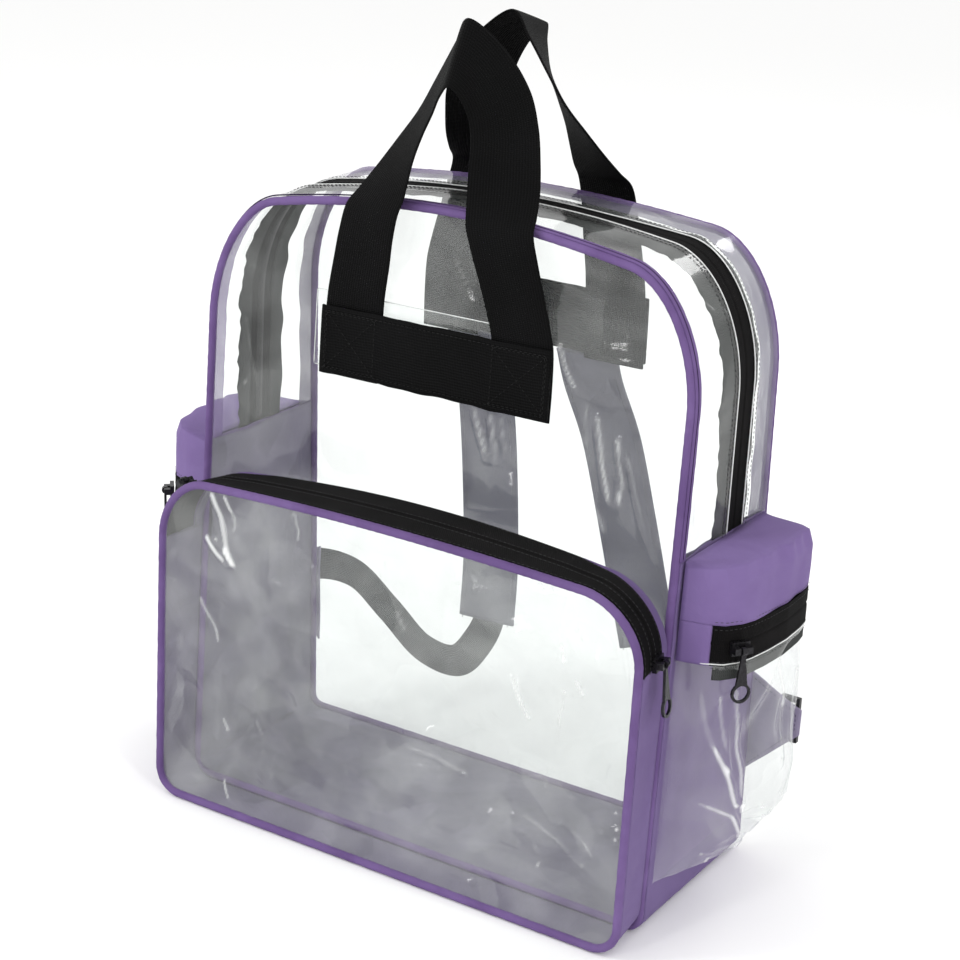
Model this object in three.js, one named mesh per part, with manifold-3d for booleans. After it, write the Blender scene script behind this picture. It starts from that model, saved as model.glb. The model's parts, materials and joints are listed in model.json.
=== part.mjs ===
// A clear stadium backpack, standing on its base, with its two handles pinched together at the top.
// Millimetres, +Z up, the front towards -Y, the origin at the centre of the base's underside.
import * as THREE from 'three'
import { mergeVertices } from 'three/addons/utils/BufferGeometryUtils.js'
import Module from 'manifold-3d'

// Driving dimensions of the body
const BODY_WIDTH = 330
const BODY_HEIGHT = 390
const BODY_DEPTH = 128
const FRONT_LEAN = 26
const BACK_LEAN = 3
const FRONT_CROWN = 20
const BACK_CROWN = 13
const CORNER_ACROSS = 46
const CORNER_DOWN = 78
const FOOT_RADIUS = 10
const SEAM_HEIGHT = 222
const FILM = 1.0
const FABRIC = 1.6
const PIPING_RADIUS = 2.5
const GAP = 0.3
const MAIN_ZIP_RIGHT = 0.6
const MAIN_ZIP_LEFT = 0.47
const MAIN_ZIP_WIDTH = 23

// Front pocket
const POCKET_OVERHANG = 3
const POCKET_WIDTH = BODY_WIDTH + 2 * POCKET_OVERHANG
const POCKET_HEIGHT = 222
const POCKET_DEPTH = 32
const POCKET_LEAN = 9
const POCKET_BOW = 15
const POCKET_CROWN = 12
const POCKET_BACK_DROP = 4
const POCKET_CORNER_ACROSS = 38
const POCKET_CORNER_DOWN = 50
const POCKET_FOOT_RADIUS = 18
const POCKET_ZIP_DROP = 54
const POCKET_ZIP_END = POCKET_HEIGHT - POCKET_ZIP_DROP
const POCKET_ZIP_WIDTH = 24

// Side pockets
const RIGHT_BULGE = 37
const LEFT_BULGE = 49
const SIDE_LIFT = 5
const SIDE_FRONT_MARGIN = 2
const SIDE_BACK_MARGIN = 1.5
const SIDE_FOOT = 30
const SIDE_BAND_HEIGHT = 34
const SIDE_ZIP_TOP = SEAM_HEIGHT - SIDE_BAND_HEIGHT
const SIDE_ZIP_HEIGHT = 23
const SIDE_ZIP_START = 5

// Webbing handles
const WEB_WIDTH = 40
const WEB_THICKNESS = 2
const BAND_WIDTH = 156
const FRONT_BAND_DROP = 67
const BACK_BAND_DROP = 59
const FRONT_BAND_TOP = BODY_HEIGHT - FRONT_BAND_DROP
const BACK_BAND_TOP = BODY_HEIGHT - BACK_BAND_DROP
const FRONT_HANDLE_RISE = 151
const BACK_HANDLE_RISE = 156
const FRONT_HANDLE_REACH = 25
const BACK_HANDLE_REACH = 30
const FRONT_PEAK_TIP = 62
const BACK_PEAK_TIP = 16

// Shoulder straps, the webbing below them, and the corner tabs
const STRAP_WIDTH = 42
const STRAP_THICKNESS = 4
const STRAP_BOW = 32
const LOWER_WEB_WIDTH = 22
const LOWER_WEB_THICKNESS = 1.6
const TAB_LOW = 50
const TAB_RISE = 68
const TAB_REACH = 31
const TAB_TIP_HEIGHT = 16
const ADJUSTER_LAP = 14
const ADJUSTER_LENGTH = 12
const ADJUSTER_HEIGHT = 29
const ADJUSTER_BAR = 3
const ADJUSTER_THICKNESS = 3

// Zip sliders and their pulls
const SLIDER_LENGTH = 11
const SLIDER_WIDTH = 8
const SLIDER_THICKNESS = 2.6
const LUG_HEIGHT = 3.8
const PIVOT_HEIGHT = 3
const PIVOT_RADIUS = 0.7
const EYE_CLEARANCE = 0.4
const EYE_WALL = 1.2
const EYE_WIDTH = 3
const PULL_LENGTH = 31
const PULL_RING_RADIUS = 6
const PULL_RING_WALL = 1.6
const SIDE_SLIDER_PLACE = 15
const POCKET_SLIDER_RIGHT_RISE = 4
const POCKET_SLIDER_LEFT_DROP = 21
const PULL_THICKNESS = 1.6

const halfDepth = BODY_DEPTH / 2
const pipe = 2 * PIPING_RADIUS
const lerp = THREE.MathUtils.lerp
const clamp = THREE.MathUtils.clamp
const radians = THREE.MathUtils.degToRad
const vector = (x, y, z) => new THREE.Vector3(x, y, z)

const frontAt = z => -halfDepth + FRONT_LEAN * z / BODY_HEIGHT
const backAt = z => halfDepth - BACK_LEAN * z / BODY_HEIGHT

const finishes = {
  film: new THREE.MeshStandardMaterial({
    color: 0xf4f4f4, roughness: 0.08, transparent: true, opacity: 0.3,
  }),
  purple: new THREE.MeshStandardMaterial({ color: 0x8c78aa, roughness: 0.8 }),
  piping: new THREE.MeshStandardMaterial({ color: 0x6b4a8c, roughness: 0.6 }),
  webbing: new THREE.MeshStandardMaterial({ color: 0x191919, roughness: 0.8 }),
  tape: new THREE.MeshStandardMaterial({ color: 0x111111, roughness: 0.7 }),
  hardware: new THREE.MeshStandardMaterial({ color: 0x1c1a20, roughness: 0.4, metalness: 0.6 }),
  padding: new THREE.MeshStandardMaterial({ color: 0x9a90aa, roughness: 0.8 }),
}

const backpack = new THREE.Group()

function add(name, geometry, finish) {
  const mesh = new THREE.Mesh(geometry, finishes[finish])
  mesh.name = name
  backpack.add(mesh)
}

// A closed body from its corners and triangles, turned so that its faces point out
function body(corners, triangles) {
  let volume = 0
  for (const [a, b, c] of triangles) {
    volume += corners[a].dot(corners[b].clone().cross(corners[c]))
  }
  const index = volume > 0 ? triangles : triangles.map(([a, b, c]) => [a, c, b])
  const geometry = new THREE.BufferGeometry().setFromPoints(corners)
  geometry.setIndex(index.flat())
  return geometry
}

// Rings of like-ordered points, joined in turn. A looped loft ends where it starts, another is capped.
function loft(rings, looped = false) {
  const count = rings[0].length
  const triangles = []
  const steps = looped ? rings.length : rings.length - 1
  for (let i = 0; i < steps; i++) {
    const here = i * count
    const next = ((i + 1) % rings.length) * count
    for (let j = 0; j < count; j++) {
      const k = (j + 1) % count
      triangles.push([here + j, here + k, next + k], [here + j, next + k, next + j])
    }
  }
  if (!looped) {
    const end = (rings.length - 1) * count
    for (let j = 1; j < count - 1; j++) {
      triangles.push([0, j + 1, j], [end, end + j, end + j + 1])
    }
  }
  return body(rings.flat(), triangles)
}

// A thin wall over a grid: place(i, j, side) gives the outer point for side 0 and the inner for side 1
function wall(columns, rows, place) {
  const rings = []
  for (let i = 0; i < columns; i++) {
    const ring = []
    for (let j = 0; j < rows; j++) ring.push(place(i, j, 0))
    for (let j = rows - 1; j >= 0; j--) ring.push(place(i, j, 1))
    rings.push(ring)
  }
  const count = 2 * rows
  const triangles = []
  for (let i = 0; i < columns - 1; i++) {
    for (let j = 0; j < count; j++) {
      const k = (j + 1) % count
      const here = i * count
      const next = here + count
      triangles.push([here + j, here + k, next + k], [here + j, next + k, next + j])
    }
  }
  const end = (columns - 1) * count
  for (let j = 0; j < rows - 1; j++) {
    const a = j
    const b = j + 1
    const c = count - 2 - j
    const d = count - 1 - j
    triangles.push([a, c, b], [a, d, c])
    triangles.push([end + a, end + b, end + c], [end + a, end + c, end + d])
  }
  return body(rings.flat(), triangles)
}

// A flat or domed sheet inside an outline, as rings that shrink towards its middle.
// face(x, z) gives the y of the outer face.
function sheet(outline, middle, shares, face, thickness) {
  const corners = []
  const triangles = []
  const count = outline.length
  for (const side of [0, 1]) {
    for (const share of shares) {
      for (const point of outline) {
        const x = lerp(middle.x, point.x, share)
        const z = lerp(middle.y, point.y, share)
        corners.push(vector(x, face(x, z) + side * thickness, z))
      }
    }
    corners.push(vector(middle.x, face(middle.x, middle.y) + side * thickness, middle.y))
  }
  const layer = shares.length * count + 1
  for (let j = 0; j < count; j++) {
    const k = (j + 1) % count
    for (let s = 0; s < shares.length - 1; s++) {
      const outer = s * count
      const inner = outer + count
      triangles.push([outer + j, outer + k, inner + k], [outer + j, inner + k, inner + j])
      triangles.push([layer + outer + k, layer + outer + j, layer + inner + k])
      triangles.push([layer + inner + k, layer + outer + j, layer + inner + j])
    }
    const ring = (shares.length - 1) * count
    triangles.push([ring + j, ring + k, layer - 1], [layer + ring + k, layer + ring + j, 2 * layer - 1])
    triangles.push([k, j, layer + j], [k, layer + j, layer + k])
  }
  return body(corners, triangles)
}

// An arched outline in x and z, cut in two at the height from: upper runs over the top from right to
// left, under runs round the foot from left to right. The top sags towards its ends by the crown.
function arch({ width, height, across, down, foot, crown, from }) {
  const half = width / 2
  const right = [[half, from]]
  const cornerSteps = 8
  for (let i = 0; i <= cornerSteps; i++) {
    const a = i / cornerSteps * Math.PI / 2
    right.push([half - across + across * Math.cos(a), height - down + down * Math.sin(a)])
  }
  const topSteps = 4
  for (let i = 1; i < topSteps; i++) right.push([(half - across) * (1 - i / topSteps), height])
  const left = right.map(([x, z]) => [-x, z]).reverse()
  const upper = [...right, [0, height], ...left]
  const footSteps = 3
  const lower = []
  for (let i = 0; i <= footSteps; i++) {
    const a = i / footSteps * Math.PI / 2
    lower.push([-half + foot - foot * Math.cos(a), foot - foot * Math.sin(a)])
  }
  const base = [[-half, from], ...lower, [-half / 3, 0], [half / 3, 0]]
  const mirrored = lower.map(([x, z]) => [-x, z]).reverse()
  const under = [...base, ...mirrored, [half, from]]
  const drop = (x, z) => {
    const raised = clamp((z - from) / (height - from), 0, 1)
    return crown * (1 - Math.cos(x / half * Math.PI / 2)) * raised
  }
  const crowned = points => points.map(([x, z]) => new THREE.Vector2(x, z - drop(x, z)))
  return { upper: crowned(upper), under: crowned(under) }
}

function whole({ upper, under }) {
  return [...upper, ...under.slice(1, -1)]
}

// Inward normals of a run of points, looped or open
function normals(points, looped) {
  const count = points.length
  return points.map((point, i) => {
    const before = points[looped ? (i + count - 1) % count : Math.max(i - 1, 0)]
    const after = points[looped ? (i + 1) % count : Math.min(i + 1, count - 1)]
    const along = after.clone().sub(before).normalize()
    return new THREE.Vector2(-along.y, along.x)
  })
}

function inset(points, distance) {
  const inward = normals(points, true)
  return points.map((point, i) => point.clone().addScaledVector(inward[i], distance))
}

// A round cord sewn along a closed outline, its middle at depth yAt(x, z)
function piping(points, yAt) {
  const inward = normals(points, true)
  const sides = 8
  return loft(points.map((point, i) => {
    const middle = point.clone().addScaledVector(inward[i], PIPING_RADIUS)
    const ring = []
    for (let j = 0; j < sides; j++) {
      const a = (j + 0.5) / sides * 2 * Math.PI
      const out = middle.clone().addScaledVector(inward[i], PIPING_RADIUS * Math.cos(a))
      ring.push(vector(out.x, yAt(middle.x, middle.y) + PIPING_RADIUS * Math.sin(a), out.y))
    }
    return ring
  }), true)
}

// A band of cloth or film between a front and a back outline. Each station's edges are y values,
// and the outline is blended between the two by how deep the edge lies.
function band(fronts, backs, edges, thickness, depths) {
  const frontNormals = normals(fronts, false)
  const backNormals = normals(backs, false)
  return loft(fronts.map((front, i) => {
    const [low, high] = edges(front.x, front.y, i)
    const [start, end] = depths(front.x, front.y)
    const corner = (y, depth) => {
      const share = (y - start) / (end - start)
      const point = front.clone().lerp(backs[i], share)
      const inward = frontNormals[i].clone().lerp(backNormals[i], share).normalize()
      point.addScaledVector(inward, depth)
      return vector(point.x, y, point.y)
    }
    return [corner(low, 0), corner(high, 0), corner(high, thickness), corner(low, thickness)]
  }))
}

// Trims an open run of stations at both ends by a small distance along itself
function trimmed(points, distance) {
  const cut = points.map(point => point.clone())
  const pull = (end, next) => end.add(next.clone().sub(end).setLength(distance))
  pull(cut[0], cut[1])
  pull(cut[cut.length - 1], cut[cut.length - 2])
  return cut
}

// Body
const bodyShape = {
  width: BODY_WIDTH, height: BODY_HEIGHT, across: CORNER_ACROSS, down: CORNER_DOWN,
  foot: FOOT_RADIUS, from: SEAM_HEIGHT,
}
const frontOutline = arch({ ...bodyShape, crown: FRONT_CROWN })
const backOutline = arch({ ...bodyShape, crown: BACK_CROWN })
const bodyDepths = (x, z) => [frontAt(z), backAt(z)]
const panelMiddle = new THREE.Vector2(0, BODY_HEIGHT / 2)

add('front_panel', sheet(inset(whole(frontOutline), pipe + GAP), panelMiddle, [1],
  (x, z) => frontAt(z) + PIPING_RADIUS - FILM / 2, FILM), 'film')
add('back_panel', sheet(inset(whole(backOutline), pipe + GAP), panelMiddle, [1],
  (x, z) => backAt(z) - PIPING_RADIUS - FILM / 2, FILM), 'film')
add('front_piping', piping(whole(frontOutline), (x, z) => frontAt(z) + PIPING_RADIUS), 'piping')
add('back_piping', piping(whole(backOutline), (x, z) => backAt(z) - PIPING_RADIUS), 'piping')

const gussetFront = z => frontAt(z) + pipe + GAP
const gussetBack = z => backAt(z) - pipe - GAP
const zipPlace = x => lerp(MAIN_ZIP_LEFT, MAIN_ZIP_RIGHT, clamp(0.5 + x / BODY_WIDTH, 0, 1))
const zipMiddle = (x, z) => lerp(frontAt(z), backAt(z), zipPlace(x))
const zipFront = (x, z) => zipMiddle(x, z) - MAIN_ZIP_WIDTH / 2
const zipBack = (x, z) => zipMiddle(x, z) + MAIN_ZIP_WIDTH / 2

function gusset(name, part, edges, thickness, finish) {
  const fronts = trimmed(frontOutline[part], GAP / 2)
  const backs = trimmed(backOutline[part], GAP / 2)
  add(name, band(fronts, backs, edges, thickness, bodyDepths), finish)
}
gusset('gusset_front_strip', 'upper', (x, z) => [gussetFront(z), zipFront(x, z) - GAP], FILM, 'film')
gusset('main_zipper', 'upper', (x, z) => [zipFront(x, z), zipBack(x, z)], FABRIC, 'tape')
gusset('gusset_back_strip', 'upper', (x, z) => [zipBack(x, z) + GAP, gussetBack(z)], FILM, 'film')
gusset('lower_gusset', 'under', (x, z) => [gussetFront(z), gussetBack(z)], FABRIC, 'purple')

// Front pocket: its face leans back and bows forward towards the middle of its top edge
const pocketFace = (x, z) => -halfDepth - POCKET_DEPTH + POCKET_LEAN * z / POCKET_HEIGHT
  - POCKET_BOW * Math.cos(clamp(x / POCKET_WIDTH, -0.5, 0.5) * Math.PI) * clamp(z / POCKET_HEIGHT, 0, 1)
const pocketShape = {
  height: POCKET_HEIGHT, across: POCKET_CORNER_ACROSS, down: POCKET_CORNER_DOWN,
  foot: POCKET_FOOT_RADIUS, crown: POCKET_CROWN, from: POCKET_ZIP_END,
}
const pocketOuter = arch({ ...pocketShape, width: POCKET_WIDTH })
const pocketInner = arch({
  ...pocketShape, width: BODY_WIDTH - FABRIC,
  height: POCKET_HEIGHT - POCKET_BACK_DROP, down: POCKET_CORNER_DOWN - POCKET_BACK_DROP,
})
const pocketMiddle = new THREE.Vector2(0, POCKET_HEIGHT / 2)
const pocketStart = (x, z) => pocketFace(x, z) + pipe + GAP
const pocketEnd = z => frontAt(z) - GAP
const pocketDepths = (x, z) => [pocketFace(x, z), pocketEnd(z)]

add('pocket_panel', sheet(inset(whole(pocketOuter), pipe + GAP), pocketMiddle, [1, 0.85, 0.65, 0.35],
  (x, z) => pocketFace(x, z) + PIPING_RADIUS - FILM / 2, FILM), 'film')
add('pocket_piping', piping(whole(pocketOuter), (x, z) => pocketFace(x, z) + PIPING_RADIUS), 'piping')

// The zip is narrow at its ends and fills the gusset over the top. A purple horn fills in behind it.
const hornTop = BODY_WIDTH / 3
const zipSpan = (x, z) => {
  const rise = clamp((POCKET_WIDTH / 2 - Math.abs(x)) / (POCKET_WIDTH / 2 - hornTop), 0, 1)
  const narrow = pocketStart(x, z) + POCKET_ZIP_WIDTH
  return lerp(narrow, pocketEnd(z) - GAP, rise)
}
add('pocket_zipper', band(trimmed(pocketOuter.upper, GAP / 2), trimmed(pocketInner.upper, GAP / 2),
  (x, z) => [pocketStart(x, z), zipSpan(x, z)], FABRIC, pocketDepths), 'tape')

// The pocket's gusset runs from the right horn's tip down, under and up to the left horn's tip
function pocketGussetStations(outline) {
  const horn = outline.upper.filter(point => point.x > hornTop)
  const left = horn.map(point => new THREE.Vector2(-point.x, point.y))
  const under = outline.under.slice(1, -1).map(point => point.clone()).reverse()
  const step = new THREE.Vector2(0, GAP / 2)
  const rightSeam = [horn[0].clone().add(step), horn[0].clone().sub(step)]
  const leftSeam = [left[0].clone().sub(step), left[0].clone().add(step)]
  return [...horn.slice(1).reverse(), ...rightSeam, ...under, ...leftSeam, ...left.slice(1)]
}
const hornStart = (x, z) => (z > POCKET_ZIP_END ? zipSpan(x, z) + GAP : pocketStart(x, z))
const hornEdges = (x, z) => [Math.min(hornStart(x, z), pocketEnd(z) - GAP), pocketEnd(z)]
add('pocket_gusset', band(pocketGussetStations(pocketOuter).reverse(),
  pocketGussetStations(pocketInner).reverse(), hornEdges, FABRIC, pocketDepths), 'purple')

// Side pockets: how far the cloth stands out, as shares of the bulge, along the depth and up the height
const bulgeAlong = [
  { place: 0, out: 0 }, { place: 0.03, out: 0.4 }, { place: 0.08, out: 0.65 }, { place: 0.16, out: 0.8 },
  { place: 0.25, out: 0.88 }, { place: 0.4, out: 0.95 }, { place: 0.6, out: 1 }, { place: 0.8, out: 0.98 },
  { place: 0.9, out: 0.94 }, { place: 0.95, out: 0.78 }, { place: 1, out: 0 },
]
const bulgeUp = [
  { place: 0, out: 0 }, { place: 0.02, out: 0.35 }, { place: 0.06, out: 0.75 }, { place: 0.14, out: 1 },
  { place: 0.94, out: 1 }, { place: 0.98, out: 0.92 }, { place: 1, out: 0 },
]
function read(table, place) {
  const at = table.findIndex(row => row.place >= place)
  if (at <= 0) return table[0].out
  const low = table[at - 1]
  const high = table[at]
  return lerp(low.out, high.out, (place - low.place) / (high.place - low.place))
}
const sideHeight = SEAM_HEIGHT - SIDE_FOOT
const sideFront = z => gussetFront(z) + SIDE_FRONT_MARGIN
const sideBack = z => gussetBack(z) - SIDE_BACK_MARGIN
function bulge(y, z) {
  const along = clamp((y - sideFront(z)) / (sideBack(z) - sideFront(z)), 0, 1)
  const up = clamp((z - SIDE_FOOT) / sideHeight, 0, 1)
  return read(bulgeAlong, along) * read(bulgeUp, up)
}
const sideFace = BODY_WIDTH / 2 + FABRIC + GAP
// The inner face of a side pocket lies one wall in from the outer, square to it. The top edge is lifted.
function sidePoint(sign, y, z, side, thickness) {
  const stand = sign > 0 ? RIGHT_BULGE : LEFT_BULGE
  const step = 1
  const slopeAlong = stand * (bulge(y + step, z) - bulge(y - step, z)) / (2 * step)
  const slopeUp = stand * (bulge(y, z + step) - bulge(y, z - step)) / (2 * step)
  const out = vector(1, -slopeAlong, -slopeUp).normalize()
  const point = vector(sideFace + stand * bulge(y, z), y, z).addScaledVector(out, -side * thickness)
  point.x = Math.max(point.x, BODY_WIDTH / 2 + GAP)
  point.z += SIDE_LIFT * bulge(y, z) * clamp((z - SIDE_ZIP_TOP) / (SEAM_HEIGHT - SIDE_ZIP_TOP), 0, 1)
  return vector(sign * point.x, point.y, point.z)
}
const sideY = (share, z) => lerp(sideFront(z), sideBack(z), share)
const sideDepth = sideBack(SIDE_ZIP_TOP) - sideFront(SIDE_ZIP_TOP)
const zipStart = SIDE_ZIP_START / sideDepth
const hairline = GAP / 2 / sideDepth
const alongShares = [0, 0.015, 0.03, 0.08, 0.16, 0.25, 0.4, 0.6, 0.8, 0.86, 0.9, 0.93, 0.96, 0.98, 1]
const beforeZip = alongShares.filter(share => share < zipStart - hairline)
const behindZip = alongShares.filter(share => share > zipStart + hairline)
const zipBottom = SIDE_ZIP_TOP - SIDE_ZIP_HEIGHT
const upShares = [0, 0.3, 0.6, 0.75, 0.85, 0.92, 0.97, 1]
const pouchShares = [0, 0.02, 0.045, 0.09, 0.15, 0.22, 0.3, 0.6, 1]
const zipShares = [0, 0.5, 1]

function sideWall(name, sign, columns, rows, low, high, thickness, finish) {
  add(name, wall(columns.length, rows.length, (i, j, side) => {
    const z = lerp(low(columns[i]), high, rows[j])
    return sidePoint(sign, sideY(columns[i], z), z, side, thickness)
  }), finish)
}
for (const [sign, hand] of [[1, 'right'], [-1, 'left']]) {
  const split = [...beforeZip, zipStart - hairline, zipStart + hairline, ...behindZip]
  const stepped = share => (share < zipStart ? zipBottom : SIDE_ZIP_TOP + GAP)
  sideWall(`side_pocket_band_${hand}`, sign, split, upShares, stepped, SEAM_HEIGHT, FABRIC, 'purple')
  sideWall(`side_pocket_zipper_${hand}`, sign, [zipStart + 3 * hairline, ...behindZip], zipShares,
    () => zipBottom, SIDE_ZIP_TOP, FABRIC, 'tape')
  sideWall(`side_pocket_pouch_${hand}`, sign, alongShares, pouchShares, () => SIDE_FOOT,
    zipBottom - GAP, FILM, 'film')
}

// A flat strip between two edge curves, given as rows of an outer and an inner point
function strip(outers, inners, thickness, steps) {
  const outer = new THREE.CatmullRomCurve3(outers, false, 'centripetal')
  const inner = new THREE.CatmullRomCurve3(inners, false, 'centripetal')
  const spans = outers.length - 1
  const rings = []
  for (let i = 0; i <= spans * steps; i++) {
    const t = i / (spans * steps)
    const a = outer.getPoint(t)
    const b = inner.getPoint(t)
    const step = 0.4 / steps / spans
    const nearby = clamp(t, step, 1 - step)
    const ahead = outer.getPoint(nearby + step).add(inner.getPoint(nearby + step))
    const behind = outer.getPoint(nearby - step).add(inner.getPoint(nearby - step))
    const square = ahead.sub(behind).cross(a.clone().sub(b)).setLength(thickness / 2)
    rings.push([a.clone().add(square), a.clone().sub(square), b.clone().sub(square), b.clone().add(square)])
  }
  return loft(rings)
}

// Handles: each leg from the band's foot to the peak. up is a share of the rise, spread of half the
// band, lean of the reach towards the middle, turn the twist about upright and tip the outer edge's lift.
const legTable = [
  { up: -0.27, spread: 1, lean: 0, turn: 0, tip: 0 },
  { up: -0.14, spread: 1, lean: 0, turn: 0, tip: 0 },
  { up: 0, spread: 0.98, lean: 0, turn: 0, tip: 0 },
  { up: 0.07, spread: 0.95, lean: -0.04, turn: 1, tip: 0 },
  { up: 0.2, spread: 0.87, lean: -0.12, turn: 3, tip: 0 },
  { up: 0.31, spread: 0.8, lean: -0.2, turn: 6, tip: 0 },
  { up: 0.41, spread: 0.73, lean: -0.2, turn: 9, tip: 0 },
  { up: 0.46, spread: 0.69, lean: 0, turn: 17, tip: 0.02 },
  { up: 0.53, spread: 0.64, lean: 0.24, turn: 29, tip: 0.05 },
  { up: 0.62, spread: 0.57, lean: 0.5, turn: 42, tip: 0.1 },
  { up: 0.72, spread: 0.48, lean: 0.79, turn: 53, tip: 0.18 },
  { up: 0.82, spread: 0.37, lean: 0.93, turn: 60, tip: 0.35 },
  { up: 0.93, spread: 0.19, lean: 0.82, turn: 74, tip: 0.68 },
  { up: 1, spread: 0, lean: 0.55, turn: 90, tip: 1 },
]
function handle(name, { faceAt, towards, top, height, reach, peakTip }) {
  const legMiddle = (BAND_WIDTH - WEB_WIDTH) / 2
  const edge = (row, side, out) => {
    const z = top + row.up * height
    const y = faceAt(Math.min(z, top)) - towards * (GAP + WEB_THICKNESS / 2) + towards * row.lean * reach
    const turn = radians(row.turn)
    const tip = radians(row.tip * peakTip)
    const flat = out * WEB_WIDTH / 2 * Math.cos(tip)
    const x = legMiddle * row.spread + flat * Math.cos(turn)
    const rise = out * WEB_WIDTH / 2 * Math.sin(tip)
    return vector(side * x, y + towards * flat * Math.sin(turn), z + rise)
  }
  const farLeg = legTable.slice(0, -1).reverse()
  const edges = out => [...legTable.map(row => edge(row, 1, out)), ...farLeg.map(row => edge(row, -1, out))]
  add(name, strip(edges(1), edges(-1), WEB_THICKNESS, 3), 'webbing')
}
const panelFace = z => frontAt(z) + PIPING_RADIUS - FILM / 2
const backFace = z => backAt(z) - PIPING_RADIUS + FILM / 2
handle('front_handle', {
  faceAt: panelFace, towards: 1, top: FRONT_BAND_TOP, height: FRONT_HANDLE_RISE,
  reach: FRONT_HANDLE_REACH, peakTip: FRONT_PEAK_TIP,
})
handle('back_handle', {
  faceAt: backFace, towards: -1, top: BACK_BAND_TOP, height: BACK_HANDLE_RISE,
  reach: BACK_HANDLE_REACH, peakTip: BACK_PEAK_TIP,
})

// A band of webbing across the feet of each handle
function handleBand(name, faceAt, towards, top) {
  const bottom = top - WEB_WIDTH
  const near = GAP + WEB_THICKNESS + GAP
  const ring = z => [near, near + WEB_THICKNESS].map(out => faceAt(z) - towards * out)
  const sections = [-BAND_WIDTH / 2, BAND_WIDTH / 2].map(x => {
    const [lowIn, lowOut] = ring(bottom)
    const [highIn, highOut] = ring(top)
    const low = [vector(x, lowIn, bottom), vector(x, lowOut, bottom)]
    return [...low, vector(x, highOut, top), vector(x, highIn, top)]
  })
  add(name, loft(sections), 'webbing')
}
handleBand('front_handle_band', panelFace, 1, FRONT_BAND_TOP)
handleBand('back_handle_band', backFace, -1, BACK_BAND_TOP)

// Shoulder straps and the webbing below them. across is a share of half the body's width, out of the
// strap's bow behind the back, and up of the height of the handle band's lower edge.
const strapRoutes = {
  right: {
    strap: [
      { across: 0.22, out: 0.09, up: 1 }, { across: 0.23, out: 0.3, up: 0.93 },
      { across: 0.27, out: 0.75, up: 0.8 }, { across: 0.33, out: 1, up: 0.62 },
      { across: 0.41, out: 0.95, up: 0.46 }, { across: 0.48, out: 0.8, up: 0.35 },
    ],
    webbing: [
      { across: 0.52, out: 0.72, up: 0.28 },
      { across: 0.58, out: 0.62, up: 0.23 }, { across: 0.72, out: 0.42, up: 0.2 },
      { across: 0.9, out: 0.28, up: 0.24 }, { across: 1.08, out: 0.1, up: 0.3 },
      { across: 1.13, out: 0.1, up: 0.32 },
    ],
  },
  left: {
    strap: [
      { across: 0.26, out: 0.08, up: 1 }, { across: 0.26, out: 0.28, up: 0.93 },
      { across: 0.28, out: 0.75, up: 0.8 }, { across: 0.28, out: 1, up: 0.6 },
      { across: 0.26, out: 0.95, up: 0.42 }, { across: 0.25, out: 0.8, up: 0.3 },
    ],
    webbing: [
      { across: 0.29, out: 0.72, up: 0.24 },
      { across: 0.38, out: 0.66, up: 0.18 }, { across: 0.53, out: 0.58, up: 0.19 },
      { across: 0.69, out: 0.44, up: 0.27 }, { across: 0.85, out: 0.34, up: 0.34 },
      { across: 1, out: 0.18, up: 0.35 }, { across: 1.13, out: 0.1, up: 0.32 },
    ],
  },
}
const strapTop = BACK_BAND_TOP - WEB_WIDTH - GAP
const routeMiddles = (sign, route) => route.map(row => vector(sign * row.across * BODY_WIDTH / 2,
  halfDepth + row.out * STRAP_BOW, row.up * strapTop))
function strapPiece(name, middles, width, thickness, finish) {
  const along = new THREE.CatmullRomCurve3(middles, false, 'centripetal')
  const edges = out => middles.map((middle, i) => {
    const run = along.getTangent(i / (middles.length - 1))
    const square = vector(run.z, 0, -run.x).setLength(out * width / 2)
    return middle.clone().add(square)
  })
  add(name, strip(edges(1), edges(-1), thickness, 3), finish)
}
const tabTip = BODY_WIDTH / 2 + TAB_REACH
const tabMiddle = TAB_LOW + TAB_RISE * 0.62
const adjusterStart = tabTip - ADJUSTER_LAP
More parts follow.
